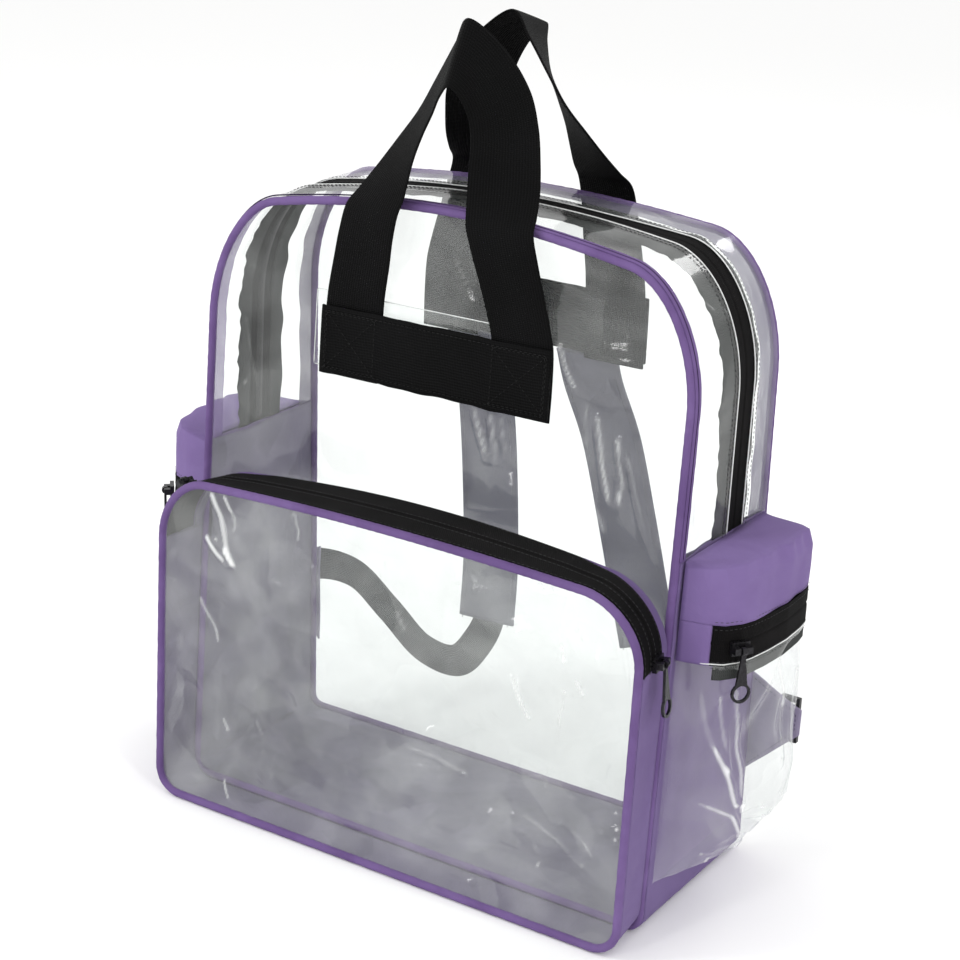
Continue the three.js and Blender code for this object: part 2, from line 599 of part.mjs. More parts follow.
for (const [sign, hand] of [[1, 'right'], [-1, 'left']]) {
  const strapMiddles = routeMiddles(sign, strapRoutes[hand].strap)
  strapPiece(`shoulder_strap_${hand}`, strapMiddles, STRAP_WIDTH, STRAP_THICKNESS, 'padding')

  // The webbing starts on the back of the strap's lower end
  const strapLine = new THREE.CatmullRomCurve3(strapMiddles, false, 'centripetal')
  const lap = [0.92, 0.96, 1].map(share => strapLine.getPoint(share))
  const behind = vector(0, STRAP_THICKNESS / 2 + LOWER_WEB_THICKNESS / 2 + 2 * GAP, 0)
  const webMiddles = [...lap, ...routeMiddles(sign, strapRoutes[hand].webbing)]
  for (const middle of webMiddles) middle.add(behind)
  strapPiece(`strap_webbing_${hand}`, webMiddles, LOWER_WEB_WIDTH, LOWER_WEB_THICKNESS, 'webbing')

  const tab = new THREE.Shape([
    new THREE.Vector2(BODY_WIDTH / 2 - pipe, TAB_LOW),
    new THREE.Vector2(tabTip, tabMiddle - TAB_TIP_HEIGHT / 2),
    new THREE.Vector2(tabTip, tabMiddle + TAB_TIP_HEIGHT / 2),
    new THREE.Vector2(BODY_WIDTH / 2 - pipe, TAB_LOW + TAB_RISE),
  ])
  const frame = new THREE.Shape([
    new THREE.Vector2(adjusterStart, tabMiddle - ADJUSTER_HEIGHT / 2),
    new THREE.Vector2(adjusterStart + ADJUSTER_LENGTH, tabMiddle - ADJUSTER_HEIGHT / 2),
    new THREE.Vector2(adjusterStart + ADJUSTER_LENGTH, tabMiddle + ADJUSTER_HEIGHT / 2),
    new THREE.Vector2(adjusterStart, tabMiddle + ADJUSTER_HEIGHT / 2),
  ])
  const slotLow = adjusterStart + ADJUSTER_BAR
  const slotHigh = adjusterStart + ADJUSTER_LENGTH - ADJUSTER_BAR
  frame.holes.push(new THREE.Path([
    new THREE.Vector2(slotLow, tabMiddle - LOWER_WEB_WIDTH / 2 - GAP),
    new THREE.Vector2(slotLow, tabMiddle + LOWER_WEB_WIDTH / 2 + GAP),
    new THREE.Vector2(slotHigh, tabMiddle + LOWER_WEB_WIDTH / 2 + GAP),
    new THREE.Vector2(slotHigh, tabMiddle - LOWER_WEB_WIDTH / 2 - GAP),
  ]))
  for (const [name, shape, start, thickness, finish] of [
    [`strap_tab_${hand}`, tab, halfDepth + GAP, FABRIC, 'purple'],
    [`strap_adjuster_${hand}`, frame, halfDepth + 2 * GAP + FABRIC, ADJUSTER_THICKNESS, 'hardware'],
  ]) {
    const plate = new THREE.ExtrudeGeometry(shape, { depth: thickness, bevelEnabled: false })
    plate.rotateX(Math.PI / 2)
    plate.translate(0, start + thickness, 0)
    if (sign < 0) {
      plate.rotateZ(Math.PI)
      plate.translate(0, 2 * start + thickness, 0)
    }
    add(name, plate, finish)
  }
}

// Zip sliders. In a slider's own frame the tape lies in the plane X = 0, the pull's pivot runs along Y
// and Z points up the face. The pieces of a slider are fused, and so are those of a pull.
const wasm = await Module()
wasm.setup()
function solid(geometry) {
  const bare = geometry.clone()
  bare.deleteAttribute('normal')
  bare.deleteAttribute('uv')
  const merged = mergeVertices(bare)
  const vertProperties = new Float32Array(merged.attributes.position.array)
  const triVerts = new Uint32Array(merged.index.array)
  return new wasm.Manifold(new wasm.Mesh({ numProp: 3, vertProperties, triVerts }))
}
function fused(pieces) {
  const { vertProperties, triVerts } = pieces.map(solid).reduce((all, piece) => all.add(piece)).getMesh()
  const geometry = new THREE.BufferGeometry()
  geometry.setAttribute('position', new THREE.BufferAttribute(vertProperties, 3))
  geometry.setIndex(new THREE.BufferAttribute(triVerts, 1))
  return geometry
}
const sliderTop = GAP + SLIDER_THICKNESS
const pivotOut = sliderTop + PIVOT_HEIGHT
const eyeHole = PIVOT_RADIUS + EYE_CLEARANCE
const eyeRadius = eyeHole + EYE_WALL
const lugInside = EYE_WIDTH / 2 + EYE_CLEARANCE
const lugWidth = SLIDER_LENGTH / 2 - lugInside
const sunk = SLIDER_THICKNESS / 2

function sliderPieces() {
  const plate = new THREE.BoxGeometry(SLIDER_THICKNESS, SLIDER_LENGTH, SLIDER_WIDTH)
  plate.translate(GAP + SLIDER_THICKNESS / 2, 0, 0)
  const lugs = [-1, 1].map(side => {
    const lug = new THREE.BoxGeometry(LUG_HEIGHT + sunk, lugWidth, LUG_HEIGHT)
    return lug.translate(sliderTop + (LUG_HEIGHT - sunk) / 2, side * (lugInside + lugWidth / 2), 0)
  })
  const pivot = new THREE.CylinderGeometry(PIVOT_RADIUS, PIVOT_RADIUS, SLIDER_LENGTH - lugWidth, 10)
  return [plate, ...lugs, pivot.translate(pivotOut, 0, 0)]
}

// The pull hangs from its pivot at the origin: a neck that widens into a flat ring
function pullPieces(neckTop) {
  const ringMiddle = PULL_LENGTH - PULL_RING_RADIUS
  const neckFoot = ringMiddle - PULL_RING_RADIUS * 0.75
  const neck = new THREE.Shape([
    new THREE.Vector2(neckTop, -EYE_WIDTH / 2),
    new THREE.Vector2(2 * eyeRadius, -EYE_WIDTH / 2),
    new THREE.Vector2(neckFoot, -PULL_RING_RADIUS * 0.6),
    new THREE.Vector2(neckFoot, PULL_RING_RADIUS * 0.6),
    new THREE.Vector2(2 * eyeRadius, EYE_WIDTH / 2),
    new THREE.Vector2(neckTop, EYE_WIDTH / 2),
  ])
  const ring = new THREE.Shape().absarc(ringMiddle, 0, PULL_RING_RADIUS, 0, 2 * Math.PI)
  const hole = new THREE.Path().absarc(ringMiddle, 0, PULL_RING_RADIUS - PULL_RING_WALL, 0, 2 * Math.PI)
  ring.holes.push(hole)
  const cut = { depth: PULL_THICKNESS, bevelEnabled: false, curveSegments: 8 }
  return [neck, ring].map(shape => {
    const plate = new THREE.ExtrudeGeometry(shape, cut)
    return plate.translate(0, 0, -PULL_THICKNESS / 2).rotateY(Math.PI / 2)
  })
}
function eyePiece() {
  const half = EYE_WIDTH / 2
  const profile = [[eyeHole, -half], [eyeRadius, -half], [eyeRadius, half], [eyeHole, half], [eyeHole, -half]]
  return new THREE.LatheGeometry(profile.map(([r, y]) => new THREE.Vector2(r, y)), 12)
}

function slider(name, pullName, place, yaw, tilt, rest) {
  const frame = new THREE.Group()
  frame.position.copy(place)
  frame.rotation.set(0, -tilt, yaw, 'ZYX')
  const pull = fused([eyePiece(), ...pullPieces(eyeHole + EYE_WALL / 2)])
  for (const [pieceName, geometry] of [[name, fused(sliderPieces())], [pullName, pull]]) {
    const mesh = new THREE.Mesh(geometry, finishes.hardware)
    mesh.name = pieceName
    frame.add(mesh)
    if (pieceName === pullName) {
      mesh.position.x = pivotOut
      mesh.rotation.y = rest
    }
  }
  backpack.add(frame)
}

for (const [sign, hand] of [[1, 'right'], [-1, 'left']]) {
  const sliderZ = SIDE_ZIP_TOP - SIDE_ZIP_HEIGHT * 0.55
  const sliderY = sideFront(sliderZ) + SIDE_SLIDER_PLACE
  const stand = sign > 0 ? RIGHT_BULGE : LEFT_BULGE
  const slope = stand * (bulge(sliderY + 1, sliderZ) - bulge(sliderY - 1, sliderZ)) / 2
  slider(`side_slider_${hand}`, `side_pull_${hand}`, sidePoint(sign, sliderY, sliderZ, 0, FABRIC),
    Math.atan2(-slope, sign), 0, 0)
}

// The pocket zip's two sliders: one at the zip's right end, one parked above its left end
const pocketSliders = [
  { sign: 1, hand: 'right', height: POCKET_ZIP_END + POCKET_SLIDER_RIGHT_RISE, across: 0.6, hang: 0 },
  { sign: -1, hand: 'left', height: POCKET_HEIGHT - POCKET_SLIDER_LEFT_DROP, across: 0.3, hang: 0.5 },
]
const zipStations = across => pocketOuter.upper.map((front, i) => {
  const y = pocketStart(front.x, front.y) + POCKET_ZIP_WIDTH * across
  const [start, end] = pocketDepths(front.x, front.y)
  const point = front.clone().lerp(pocketInner.upper[i], (y - start) / (end - start))
  return vector(point.x, y, point.y)
})
for (const { sign, hand, height, across, hang } of pocketSliders) {
  const stations = zipStations(across)
  const next = stations.findIndex(point => point.z >= height)
  const [low, high] = [stations[next - 1], stations[next]]
  const place = low.clone().lerp(high, (height - low.z) / (high.z - low.z))
  const deeper = zipStations(1)[next].sub(zipStations(0)[next])
  const out = deeper.cross(high.clone().sub(low)).normalize()
  const tilt = Math.asin(out.z)
  const turn = Math.atan2(out.y, out.x)
  slider(`pocket_slider_${hand}`, `pocket_pull_${hand}`, vector(sign * place.x, place.y, height),
    sign > 0 ? turn : Math.PI - turn, tilt, tilt * hang)
}

// The main zip's slider with its pull, one plain piece at the left end
const mainSlider = fused([...sliderPieces(), ...pullPieces(0).map(piece => piece.translate(pivotOut, 0, 0))])
mainSlider.rotateZ(Math.PI)
const mainSliderHeight = SEAM_HEIGHT + PULL_LENGTH + SLIDER_LENGTH
mainSlider.translate(-BODY_WIDTH / 2, zipMiddle(-BODY_WIDTH / 2, mainSliderHeight), mainSliderHeight)
add('main_slider', mainSlider, 'hardware')

export default backpack
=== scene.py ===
"""Clear stadium backpack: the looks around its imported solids. Lengths in the formulas are millimetres."""
import json

import bmesh
import bpy
import numpy as np
from mathutils import Matrix, Vector

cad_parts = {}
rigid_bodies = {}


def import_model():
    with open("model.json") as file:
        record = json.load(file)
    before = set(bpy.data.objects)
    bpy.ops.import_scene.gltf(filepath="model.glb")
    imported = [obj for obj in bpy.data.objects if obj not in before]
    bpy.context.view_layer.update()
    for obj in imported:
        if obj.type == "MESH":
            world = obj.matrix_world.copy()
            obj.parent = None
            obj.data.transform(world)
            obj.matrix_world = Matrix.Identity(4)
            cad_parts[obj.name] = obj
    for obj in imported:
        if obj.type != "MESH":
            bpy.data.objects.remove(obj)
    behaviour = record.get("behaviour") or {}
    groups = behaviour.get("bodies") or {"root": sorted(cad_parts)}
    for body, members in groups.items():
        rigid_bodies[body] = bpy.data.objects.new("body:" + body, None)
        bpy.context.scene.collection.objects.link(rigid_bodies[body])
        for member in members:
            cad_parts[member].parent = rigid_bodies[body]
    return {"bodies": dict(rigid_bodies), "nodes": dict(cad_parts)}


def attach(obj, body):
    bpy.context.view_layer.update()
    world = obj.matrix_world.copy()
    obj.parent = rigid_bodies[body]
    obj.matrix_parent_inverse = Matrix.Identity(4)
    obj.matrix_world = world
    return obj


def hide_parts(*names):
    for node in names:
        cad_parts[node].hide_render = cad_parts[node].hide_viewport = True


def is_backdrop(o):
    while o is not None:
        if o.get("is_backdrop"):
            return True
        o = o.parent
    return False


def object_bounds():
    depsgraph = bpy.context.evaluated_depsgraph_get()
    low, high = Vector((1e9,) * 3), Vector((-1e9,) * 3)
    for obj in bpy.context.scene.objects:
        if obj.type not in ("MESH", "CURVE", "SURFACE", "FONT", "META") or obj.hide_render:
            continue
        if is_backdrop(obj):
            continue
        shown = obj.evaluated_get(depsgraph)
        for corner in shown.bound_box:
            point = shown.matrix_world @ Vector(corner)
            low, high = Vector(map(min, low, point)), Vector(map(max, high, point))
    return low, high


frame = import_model()
cad_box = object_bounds()


def put(name, data):
    """A new object with this data, in the scene."""
    made = bpy.data.objects.new(name, data)
    bpy.context.scene.collection.objects.link(made)
    return made


class Wire:
    """One socket of a material's node tree, with arithmetic on it."""

    def __init__(self, tree, socket):
        self.tree, self.socket = tree, socket

    def node(self, kind, output=0, **inputs):
        """A new node of this kind: settings in small letters, inputs as I0, I1 or by their names."""
        made = self.tree.nodes.new("ShaderNode" + kind)
        for name, value in inputs.items():
            if name[0].islower():
                setattr(made, name, value)
                continue
            target = made.inputs[int(name[1:])] if name[1:].isdigit() else made.inputs[name]
            if isinstance(value, Wire):
                self.tree.links.new(value.socket, target)
            else:
                target.default_value = value
        return Wire(self.tree, made.outputs[output])

    def math(self, operation, *others):
        wires = {"I%d" % (i + 1): other for i, other in enumerate(others)}
        return self.node("Math", operation=operation, I0=self, **wires)

    def __add__(self, other): return self.math("ADD", other)
    def __radd__(self, other): return self.math("ADD", other)
    def __sub__(self, other): return self.math("SUBTRACT", other)
    def __rsub__(self, other): return (self * -1) + other
    def __mul__(self, other): return self.math("MULTIPLY", other)
    def __rmul__(self, other): return self.math("MULTIPLY", other)

    def ramp(self, low, high, start=0.0, end=1.0):
        """Smoothly from start to end as this goes from low to high."""
        return self.node("MapRange", interpolation_type="SMOOTHSTEP", I0=self, I1=low, I2=high,
                         I3=start, I4=end)

    def tint(self, first, second):
        """The first colour where this is 0, the second where it is 1."""
        return self.node("Mix", output=2, data_type="RGBA", I0=self, I6=(*first, 1), I7=(*second, 1))

    def feed(self, shader, name):
        self.tree.links.new(self.socket, shader.inputs[name])


def material(name, **values):
    """A material, its Principled shader, and Wires for Object coordinates and for UV along and across."""
    made = bpy.data.materials.new(name)
    made.use_nodes = True
    tree = made.node_tree
    shader = tree.nodes["Principled BSDF"]
    for key, value in values.items():
        shader.inputs[key.replace("_", " ")].default_value = value
    coordinates = tree.nodes.new("ShaderNodeTexCoord")
    split = tree.nodes.new("ShaderNodeSeparateXYZ")
    tree.links.new(coordinates.outputs["UV"], split.inputs[0])
    along, across = (Wire(tree, split.outputs[i]) for i in (0, 1))
    return made, shader, Wire(tree, coordinates.outputs["Object"]), along, across


def lay(tree, colour, *layers):
    """The surface: clear, tinted by the colour, with each layer's shader over it by the layer's factor."""
    clear = tree.nodes.new("ShaderNodeBsdfTransparent")
    clear.inputs["Color"].default_value = (*colour, 1)
    below = clear.outputs[0]
    for factor, shader in layers:
        mix = tree.nodes.new("ShaderNodeMixShader")
        for link, socket in enumerate((factor.socket, below, shader.outputs[0])):
            tree.links.new(socket, mix.inputs[link])
        below = mix.outputs[0]
    tree.links.new(below, tree.nodes["Material Output"].inputs["Surface"])


# Camera: a 79 mm lens, a little above the bag and to its right, with the slight tilt of the photograph.
turn, rise, roll = np.radians([32.34, 19.63, 2.18])
right = np.array([np.cos(turn), np.sin(turn), 0])
back = np.array([np.sin(turn) * np.cos(rise), -np.cos(turn) * np.cos(rise), np.sin(rise)])
up = np.cross(back, right)
camera = put("camera", bpy.data.cameras.new("camera"))
camera.data.lens, camera.data.sensor_width, camera.data.clip_end = 79.43, 36, 50
place = np.array([0.63887, -0.99894, 0.64254])
axes = [right * np.cos(roll) + up * np.sin(roll), up * np.cos(roll) - right * np.sin(roll), back]
camera.matrix_world = Matrix([[*(axis[i] for axis in axes), place[i]] for i in range(3)] + [[0, 0, 0, 1]])
bpy.context.scene.camera = camera
bpy.context.scene.view_settings.view_transform = "Standard"

# Light: an even white studio, with four soft panels that show as streaks on the vinyl.
world = bpy.data.worlds.new("studio")
world.use_nodes = True
world.node_tree.nodes["Background"].inputs["Color"].default_value = (1, 1, 1, 1)
bpy.context.scene.world = world
for name, spot, size, power in (
    ("key_panel", (-1.4, -1.3, 1.7), (0.5, 0.5), 14),
    ("fill_panel", (1.7, -0.9, 1.2), (0.25, 1.0), 7),
    ("rim_panel", (0.5, 1.6, 1.5), (0.8, 0.3), 8),
    ("front_panel_light", (-0.3, -1.9, 1.0), (0.16, 0.9), 5),
):
    light = put(name, bpy.data.lights.new(name, "AREA"))
    light.data.shape = "RECTANGLE"
    light.data.size, light.data.size_y = size
    light.data.energy = power
    light.location = spot
    light.rotation_euler = (Vector((0, 0, 0.2)) - Vector(spot)).to_track_quat("-Z", "Y").to_euler()

# Floor: a plain pale studio floor, far wider than the picture.
floor_look = material("studio_floor", Base_Color=(0.95, 0.95, 0.945, 1), Roughness=0.9)[0]
floor_mesh = bpy.data.meshes.new("floor")
floor_mesh.from_pydata([(-12, -12, -0.0004), (12, -12, -0.0004), (12, 12, -0.0004), (-12, 12, -0.0004)], [],
                       [(0, 1, 2, 3)])
floor_mesh.materials.append(floor_look)
floor = put("floor", floor_mesh)
floor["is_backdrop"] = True


# Front and back panels: soft clear vinyl, 0.4 mm thick, sewn into the piping all round. It lies in shallow
# folds, with short sharp creases whose lit flanks are painted white as highlights over the dark pieces
# behind.
def film_look(name, haze_low, haze_high):
    """A mix of clear, haze and gloss: the haze follows clouds, and painted highlights on fine lines, facets
    and the mesh's creases.
    """
    made, shader, where, along, across = material(name, Roughness=0.35)
    tree = made.node_tree
    clouds = where.node("TexNoise", Vector=where, Scale=14.0, Detail=1.0, Roughness=0.4, Distortion=1.2)
    wander = where.node("TexNoise", Vector=where, Scale=23.0, Detail=2.0, Roughness=0.45, Distortion=2.2)
    patch = where.node("TexNoise", Vector=where, Scale=31.0, Detail=1.0)
    # Thin wandering lines of painted highlight, like glints along fine wrinkles.
    line = (wander - 0.5).math("ABSOLUTE").ramp(0.0, 0.005, 1.0, 0.0) * patch.ramp(0.6, 0.72)
    # The mesh's attribute crease holds the painted highlight on the lit flank of each crease.
    crease = where.node("Attribute", output=2, attribute_name="crease")
    # Facets: soft-edged cells of painted light, as on the flat facets of crumpled vinyl.
    sway = where.node("TexNoise", output=1, Vector=where, Scale=16.0)
    sway = where.node("VectorMath", operation="SCALE", I0=sway, Scale=0.05)
    bent = where.node("VectorMath", operation="ADD", I0=where, I1=sway)
    facet_light = where.node("TexVoronoi", output=1, Vector=bent, Scale=24.0, Randomness=1.0)
    # The haze is the vinyl's own cloudiness, plus the painted highlights of the lines, the creases and the
    # facets.
    haze_and_painted_glints = clouds.ramp(0.4, 0.72, haze_low, haze_high) + line * 0.12 + crease * 0.6
    haze_and_painted_glints = haze_and_painted_glints + facet_light * (haze_high * 0.7)
    bump = where.node("Bump", Strength=0.5, Distance=0.004, Height=clouds)
    # Painted highlight: the colour goes near white on the creases' lit flanks.
    crease.tint((0.66, 0.68, 0.665), (0.96, 0.97, 0.965)).feed(shader, "Base Color")
    bump.feed(shader, "Normal")
    gloss = tree.nodes.new("ShaderNodeBsdfPrincipled")
    for key, value in (("Metallic", 1), ("Base Color", (1, 1, 1, 1)), ("Roughness", 0.1)):
        gloss.inputs[key].default_value = value
    bump.feed(gloss, "Normal")
    facing = where.node("LayerWeight", output=1, Blend=0.5, Normal=bump)
    shine = facing.math("POWER", 5.0) * 0.6 + 0.032
    lay(tree, (0.972, 0.985, 0.98), (haze_and_painted_glints, shader), (shine, gloss))
    return made


def surface(name, points, faces, look):
    """A smooth piece of the bag from points in metres and faces of four."""
    mesh = bpy.data.meshes.new(name)
    mesh.from_pydata(points.tolist(), [], faces.tolist())
    mesh.update()
    mesh.polygons.foreach_set("use_smooth", np.ones(len(faces), bool))
    mesh.materials.append(look)
    piece = put(name, mesh)
    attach(piece, "bag")
    return piece


def skin(name, grid, look, slot, *nodes, looped=False, thickness=0.0, flip=False, painted_glints=None):
    """A surface through a grid of points in millimetres, its UV in metres along its rows and columns.
    Painted glints say for each point how much painted highlight it gets on the lit flank of a crease; they
    are stored as the attribute crease."""
    grid = np.asarray(grid, float) * 0.001
    rows, columns = grid.shape[:2]
    steps = rows if looped else rows - 1
    i, j = np.meshgrid(np.arange(steps), np.arange(columns - 1), indexing="ij")
    corner = lambda a, b: (((a % rows) * columns) + b).ravel()
    faces = np.stack([corner(i, j), corner(i + 1, j), corner(i + 1, j + 1), corner(i, j + 1)], 1)
    along = np.concatenate([[0], np.cumsum(np.linalg.norm(np.diff(grid, axis=0), axis=2).mean(1))])
    across = np.concatenate([[0], np.cumsum(np.linalg.norm(np.diff(grid, axis=1), axis=2).mean(0))])
    along = np.append(along, along[-1] + np.linalg.norm(grid[0] - grid[-1], axis=1).mean())
    u = np.stack([along[i], along[i + 1], along[i + 1], along[i]], 2).reshape(-1, 4)
    v = np.stack([across[j], across[j], across[j + 1], across[j + 1]], 2).reshape(-1, 4)
    if flip:
        faces, u, v = faces[:, ::-1], u[:, ::-1], v[:, ::-1]
    piece = surface(name, grid.reshape(-1, 3), faces, look)
    flat = np.stack([u.ravel(), v.ravel()], 1).ravel().astype(np.float32)
    piece.data.uv_layers.new(name="UVMap").data.foreach_set("uv", flat)
    if painted_glints is not None:
        # Painted highlight: the lit flanks of the creases, for the vinyl shader to whiten.
        crease = piece.data.attributes.new("crease", "FLOAT", "POINT")
        crease.data.foreach_set("value", np.ravel(painted_glints).astype(np.float32))
    if thickness:
        solid = piece.modifiers.new("thickness", "SOLIDIFY")
        solid.thickness, solid.offset = thickness * 0.001, 0
    if nodes:
        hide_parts(*nodes)
    return piece


body_width, body_height, seam_height = 330, 390, 222
front_foot, front_lean, back_foot, back_lean = -64, 26, 64, 3


def front_at(z): return front_foot + front_lean * z / body_height
def back_at(z): return back_foot - back_lean * z / body_height
def front_face(x, z): return front_at(z) + cord_radius
def back_face(x, z): return back_at(z) - cord_radius


def even(line, step=None, count=None):
    """The same run of points with even steps, about this long or this many."""
    length = np.concatenate([[0], np.cumsum(np.linalg.norm(np.diff(line, axis=0), axis=1))])
    at = np.linspace(0, length[-1], count or max(2, int(length[-1] / step)))
    return np.stack([np.interp(at, length, line[:, k]) for k in range(line.shape[1])], 1)


def unit(rows):
    return rows / np.linalg.norm(rows, axis=1)[:, None]


def arch(width, height, across, down, foot, crown, start, count=260):
    """An outline in two runs of x and z: over the arched top from right to left, and round the foot.
    Its top corners are quarter ellipses, across by down, and the top sinks by the crown to each side."""
    half = width / 2
    a = np.linspace(0, np.pi / 2, 40)
    corner = np.stack([half - across + across * np.cos(a), height - down + down * np.sin(a)], 1)
    top = np.stack([np.linspace(half - across, -(half - across), 60)[1:-1], np.full(58, height)], 1)
    upper = np.concatenate([[[half, start]], corner, top, corner[::-1] * [-1, 1], [[-half, start]]])
    bend = np.linspace(0, np.pi / 2, 12)
    foot_left = np.stack([-half + foot - foot * np.cos(bend), foot - foot * np.sin(bend)], 1)
    under = np.concatenate([[[-half, start]], foot_left, foot_left[::-1] * [-1, 1], [[half, start]]])
    runs = []
    for line, number in ((upper, count), (under, count * 2 // 3)):
        raised = np.clip((line[:, 1] - start) / (height - start), 0, 1)
        sunk = crown * (1 - np.cos(line[:, 0] / half * np.pi / 2)) * raised
        runs.append(even(line - np.stack([0 * sunk, sunk], 1), count=number))
    return runs


def inward(line, looped=False):
    """Unit normals of an outline in x and z, pointing into the bag."""
    along = unit(np.roll(line, -1, 0) - np.roll(line, 1, 0) if looped else np.gradient(line, axis=0))
    return np.stack([-along[:, 1], along[:, 0]], 1)


def waves(x, z, seed, size, low=25, high=120, count=14):
    """Smooth folds over a plane: a seeded sum of sines with wavelengths between low and high."""
    chance = np.random.default_rng(seed)
    total = 0
    for _ in range(count):
        heading, length = chance.uniform(0, np.pi), chance.uniform(low, high)
        phase = chance.uniform(0, 6.3)
        total = total + np.sin((x * np.cos(heading) + z * np.sin(heading)) * 2 * np.pi / length + phase)
    return size * total / count


def ridges(x, z, creases):
    """Sharp creases: each is a height, a width and a run of points, and falls off as a bell beside it."""
    total = np.zeros(np.broadcast(x, z).shape)
    for height, width, *points in creases:
        near = np.full(total.shape, 1e9)
        for (x1, z1), (x2, z2) in zip(points, points[1:]):
            reach = (x2 - x1) ** 2 + (z2 - z1) ** 2
            share = np.clip(((x - x1) * (x2 - x1) + (z - z1) * (z2 - z1)) / reach, 0, 1)
            away = (x - x1 - share * (x2 - x1)) ** 2 + (z - z1 - share * (z2 - z1)) ** 2
            near = np.minimum(near, away)
        total += height * np.exp(-near / width**2)
    return total


def stray(seed, count, left, right, low, high, size=0.9):
    """Short bent creases strewn by a seed over a patch, most of them upright."""
    chance = np.random.default_rng(seed)
    made = []
    for _ in range(count):
        x, z = chance.uniform(left, right), chance.uniform(low, high)
        heading = chance.normal(1.5, 0.6)
        half, bend = chance.uniform(4, 13), chance.normal(0, 0.6)
        middle = (x + half * np.cos(heading), z + half * np.sin(heading))
        end = (middle[0] + half * np.cos(heading + bend), middle[1] + half * np.sin(heading + bend))
        made.append((-size * chance.uniform(0.6, 1.2), chance.uniform(1.4, 2.1), (x, z), middle, end))
    return tuple(made)


def glints(grid, shift):
    """0 to 1 where a sheet's shift slopes steeply to one side: the lit flank of each crease."""
    steps = [np.linalg.norm(np.gradient(grid, axis=k), axis=2) for k in (0, 1)]
    along, across = (np.gradient(shift, axis=k) / np.maximum(steps[k], 0.3) for k in (0, 1))
    return np.clip((0.85 * along + 0.5 * across - 0.22) / 0.34, 0, 1) ** 1.3


def panel(name, runs, face, folds, creases, look, node, cell=1.5):
    """A sheet inside an outline: columns spaced as a sine from side to side, each from foot to top."""
    upper, under = (run + inward(run) * cord_radius for run in runs)
    half = upper[:, 0].max()
    x = half * np.sin(np.linspace(-1, 1, int(2.6 * half / cell)) * np.pi / 2)
    top = np.interp(x, upper[::-1, 0], upper[::-1, 1])
    foot = np.interp(x, under[:, 0], under[:, 1])
    share = np.linspace(0, 1, int(top.max() / cell))
    z = foot[:, None] + (top - foot)[:, None] * share
    x = np.repeat(x[:, None], len(share), 1)
    edge = np.minimum(np.minimum(half - np.abs(x), z - foot[:, None]), top[:, None] - z)
    soft = folds(x, z) * np.clip(edge / 16, 0, 1) ** 2
    sharp = ridges(x, z, creases) * np.clip(edge / 5, 0, 1)
    grid = np.stack([x, face(x, z) + soft + sharp, z], 2)
    # Painted highlights on the lit flanks of the sharp creases, and faintly on the soft folds.
    painted_glints = glints(grid, sharp) + 0.2 * glints(grid, soft)
    return skin(name, grid, look, "clear_film", node, painted_glints=painted_glints)


def off_band(x, z, top):
    """0 under the webbing band that is sewn to a panel, rising to 1 a little way from it."""
    off = np.maximum(np.abs(x) - 80, np.abs(z - top + 20) - 22)
    return np.clip(off / 25, 0, 1)


cord_radius = 2.5
film = film_look("clear_film", 0.02, 0.085)
body_front = arch(body_width, body_height, 46, 78, 10, 20, seam_height)
body_back = arch(body_width, body_height, 46, 78, 10, 13, seam_height)
front_band_top, back_band_top = body_height - 67, body_height - 59
front_creases = (
    (-1.5, 2.0, (24, 290), (26, 281), (31, 266), (37, 252), (41, 252), (41, 262), (38, 278)),
    (-1.2, 1.8, (45, 278), (49, 260), (48, 240)),
    (-1.6, 2.2, (106, 290), (110, 266), (117, 245), (121, 243), (124, 256), (119, 280)),
    (-1.3, 1.8, (78, 326), (84, 313), (90, 304)), (-1.1, 1.7, (98, 296), (100, 274)),
    (-1.2, 2.2, (126, 272), (133, 252), (140, 236), (149, 218)),
    (-1.1, 1.7, (28, 221), (44, 223), (62, 227)), (-1.1, 1.8, (106, 242), (115, 228)),
    (-1.0, 1.8, (-10, 334), (-9, 366)), (-1.1, 1.7, (76, 351), (102, 350), (132, 360)),
    (-1.0, 1.7, (88, 328), (130, 331)), (-1.0, 1.8, (8, 362), (20, 340)),
    (-0.9, 1.7, (-4, 354), (4, 331)),
    (-0.9, 1.8, (58, 268), (52, 250), (56, 236)), (-0.9, 2.0, (-140, 300), (-128, 262), (-133, 240)),
    *stray(71, 4, -30, 140, 228, 300), *stray(72, 4, -60, 140, 328, 372, 0.8),
    *stray(73, 4, -150, -95, 228, 350),
)
panel("front_film", body_front, front_face,
      lambda x, z: off_band(x, z, front_band_top) * (0.8 + waves(x, z, 3, 5)), front_creases, film,
      "front_panel")
panel("back_film", body_back, back_face,
      lambda x, z: off_band(x, z, back_band_top) * (waves(x, z, 8, 5) - 0.8),
      stray(74, 12, -150, 140, 20, 270, 0.7), film, "back_panel", cell=2.0)


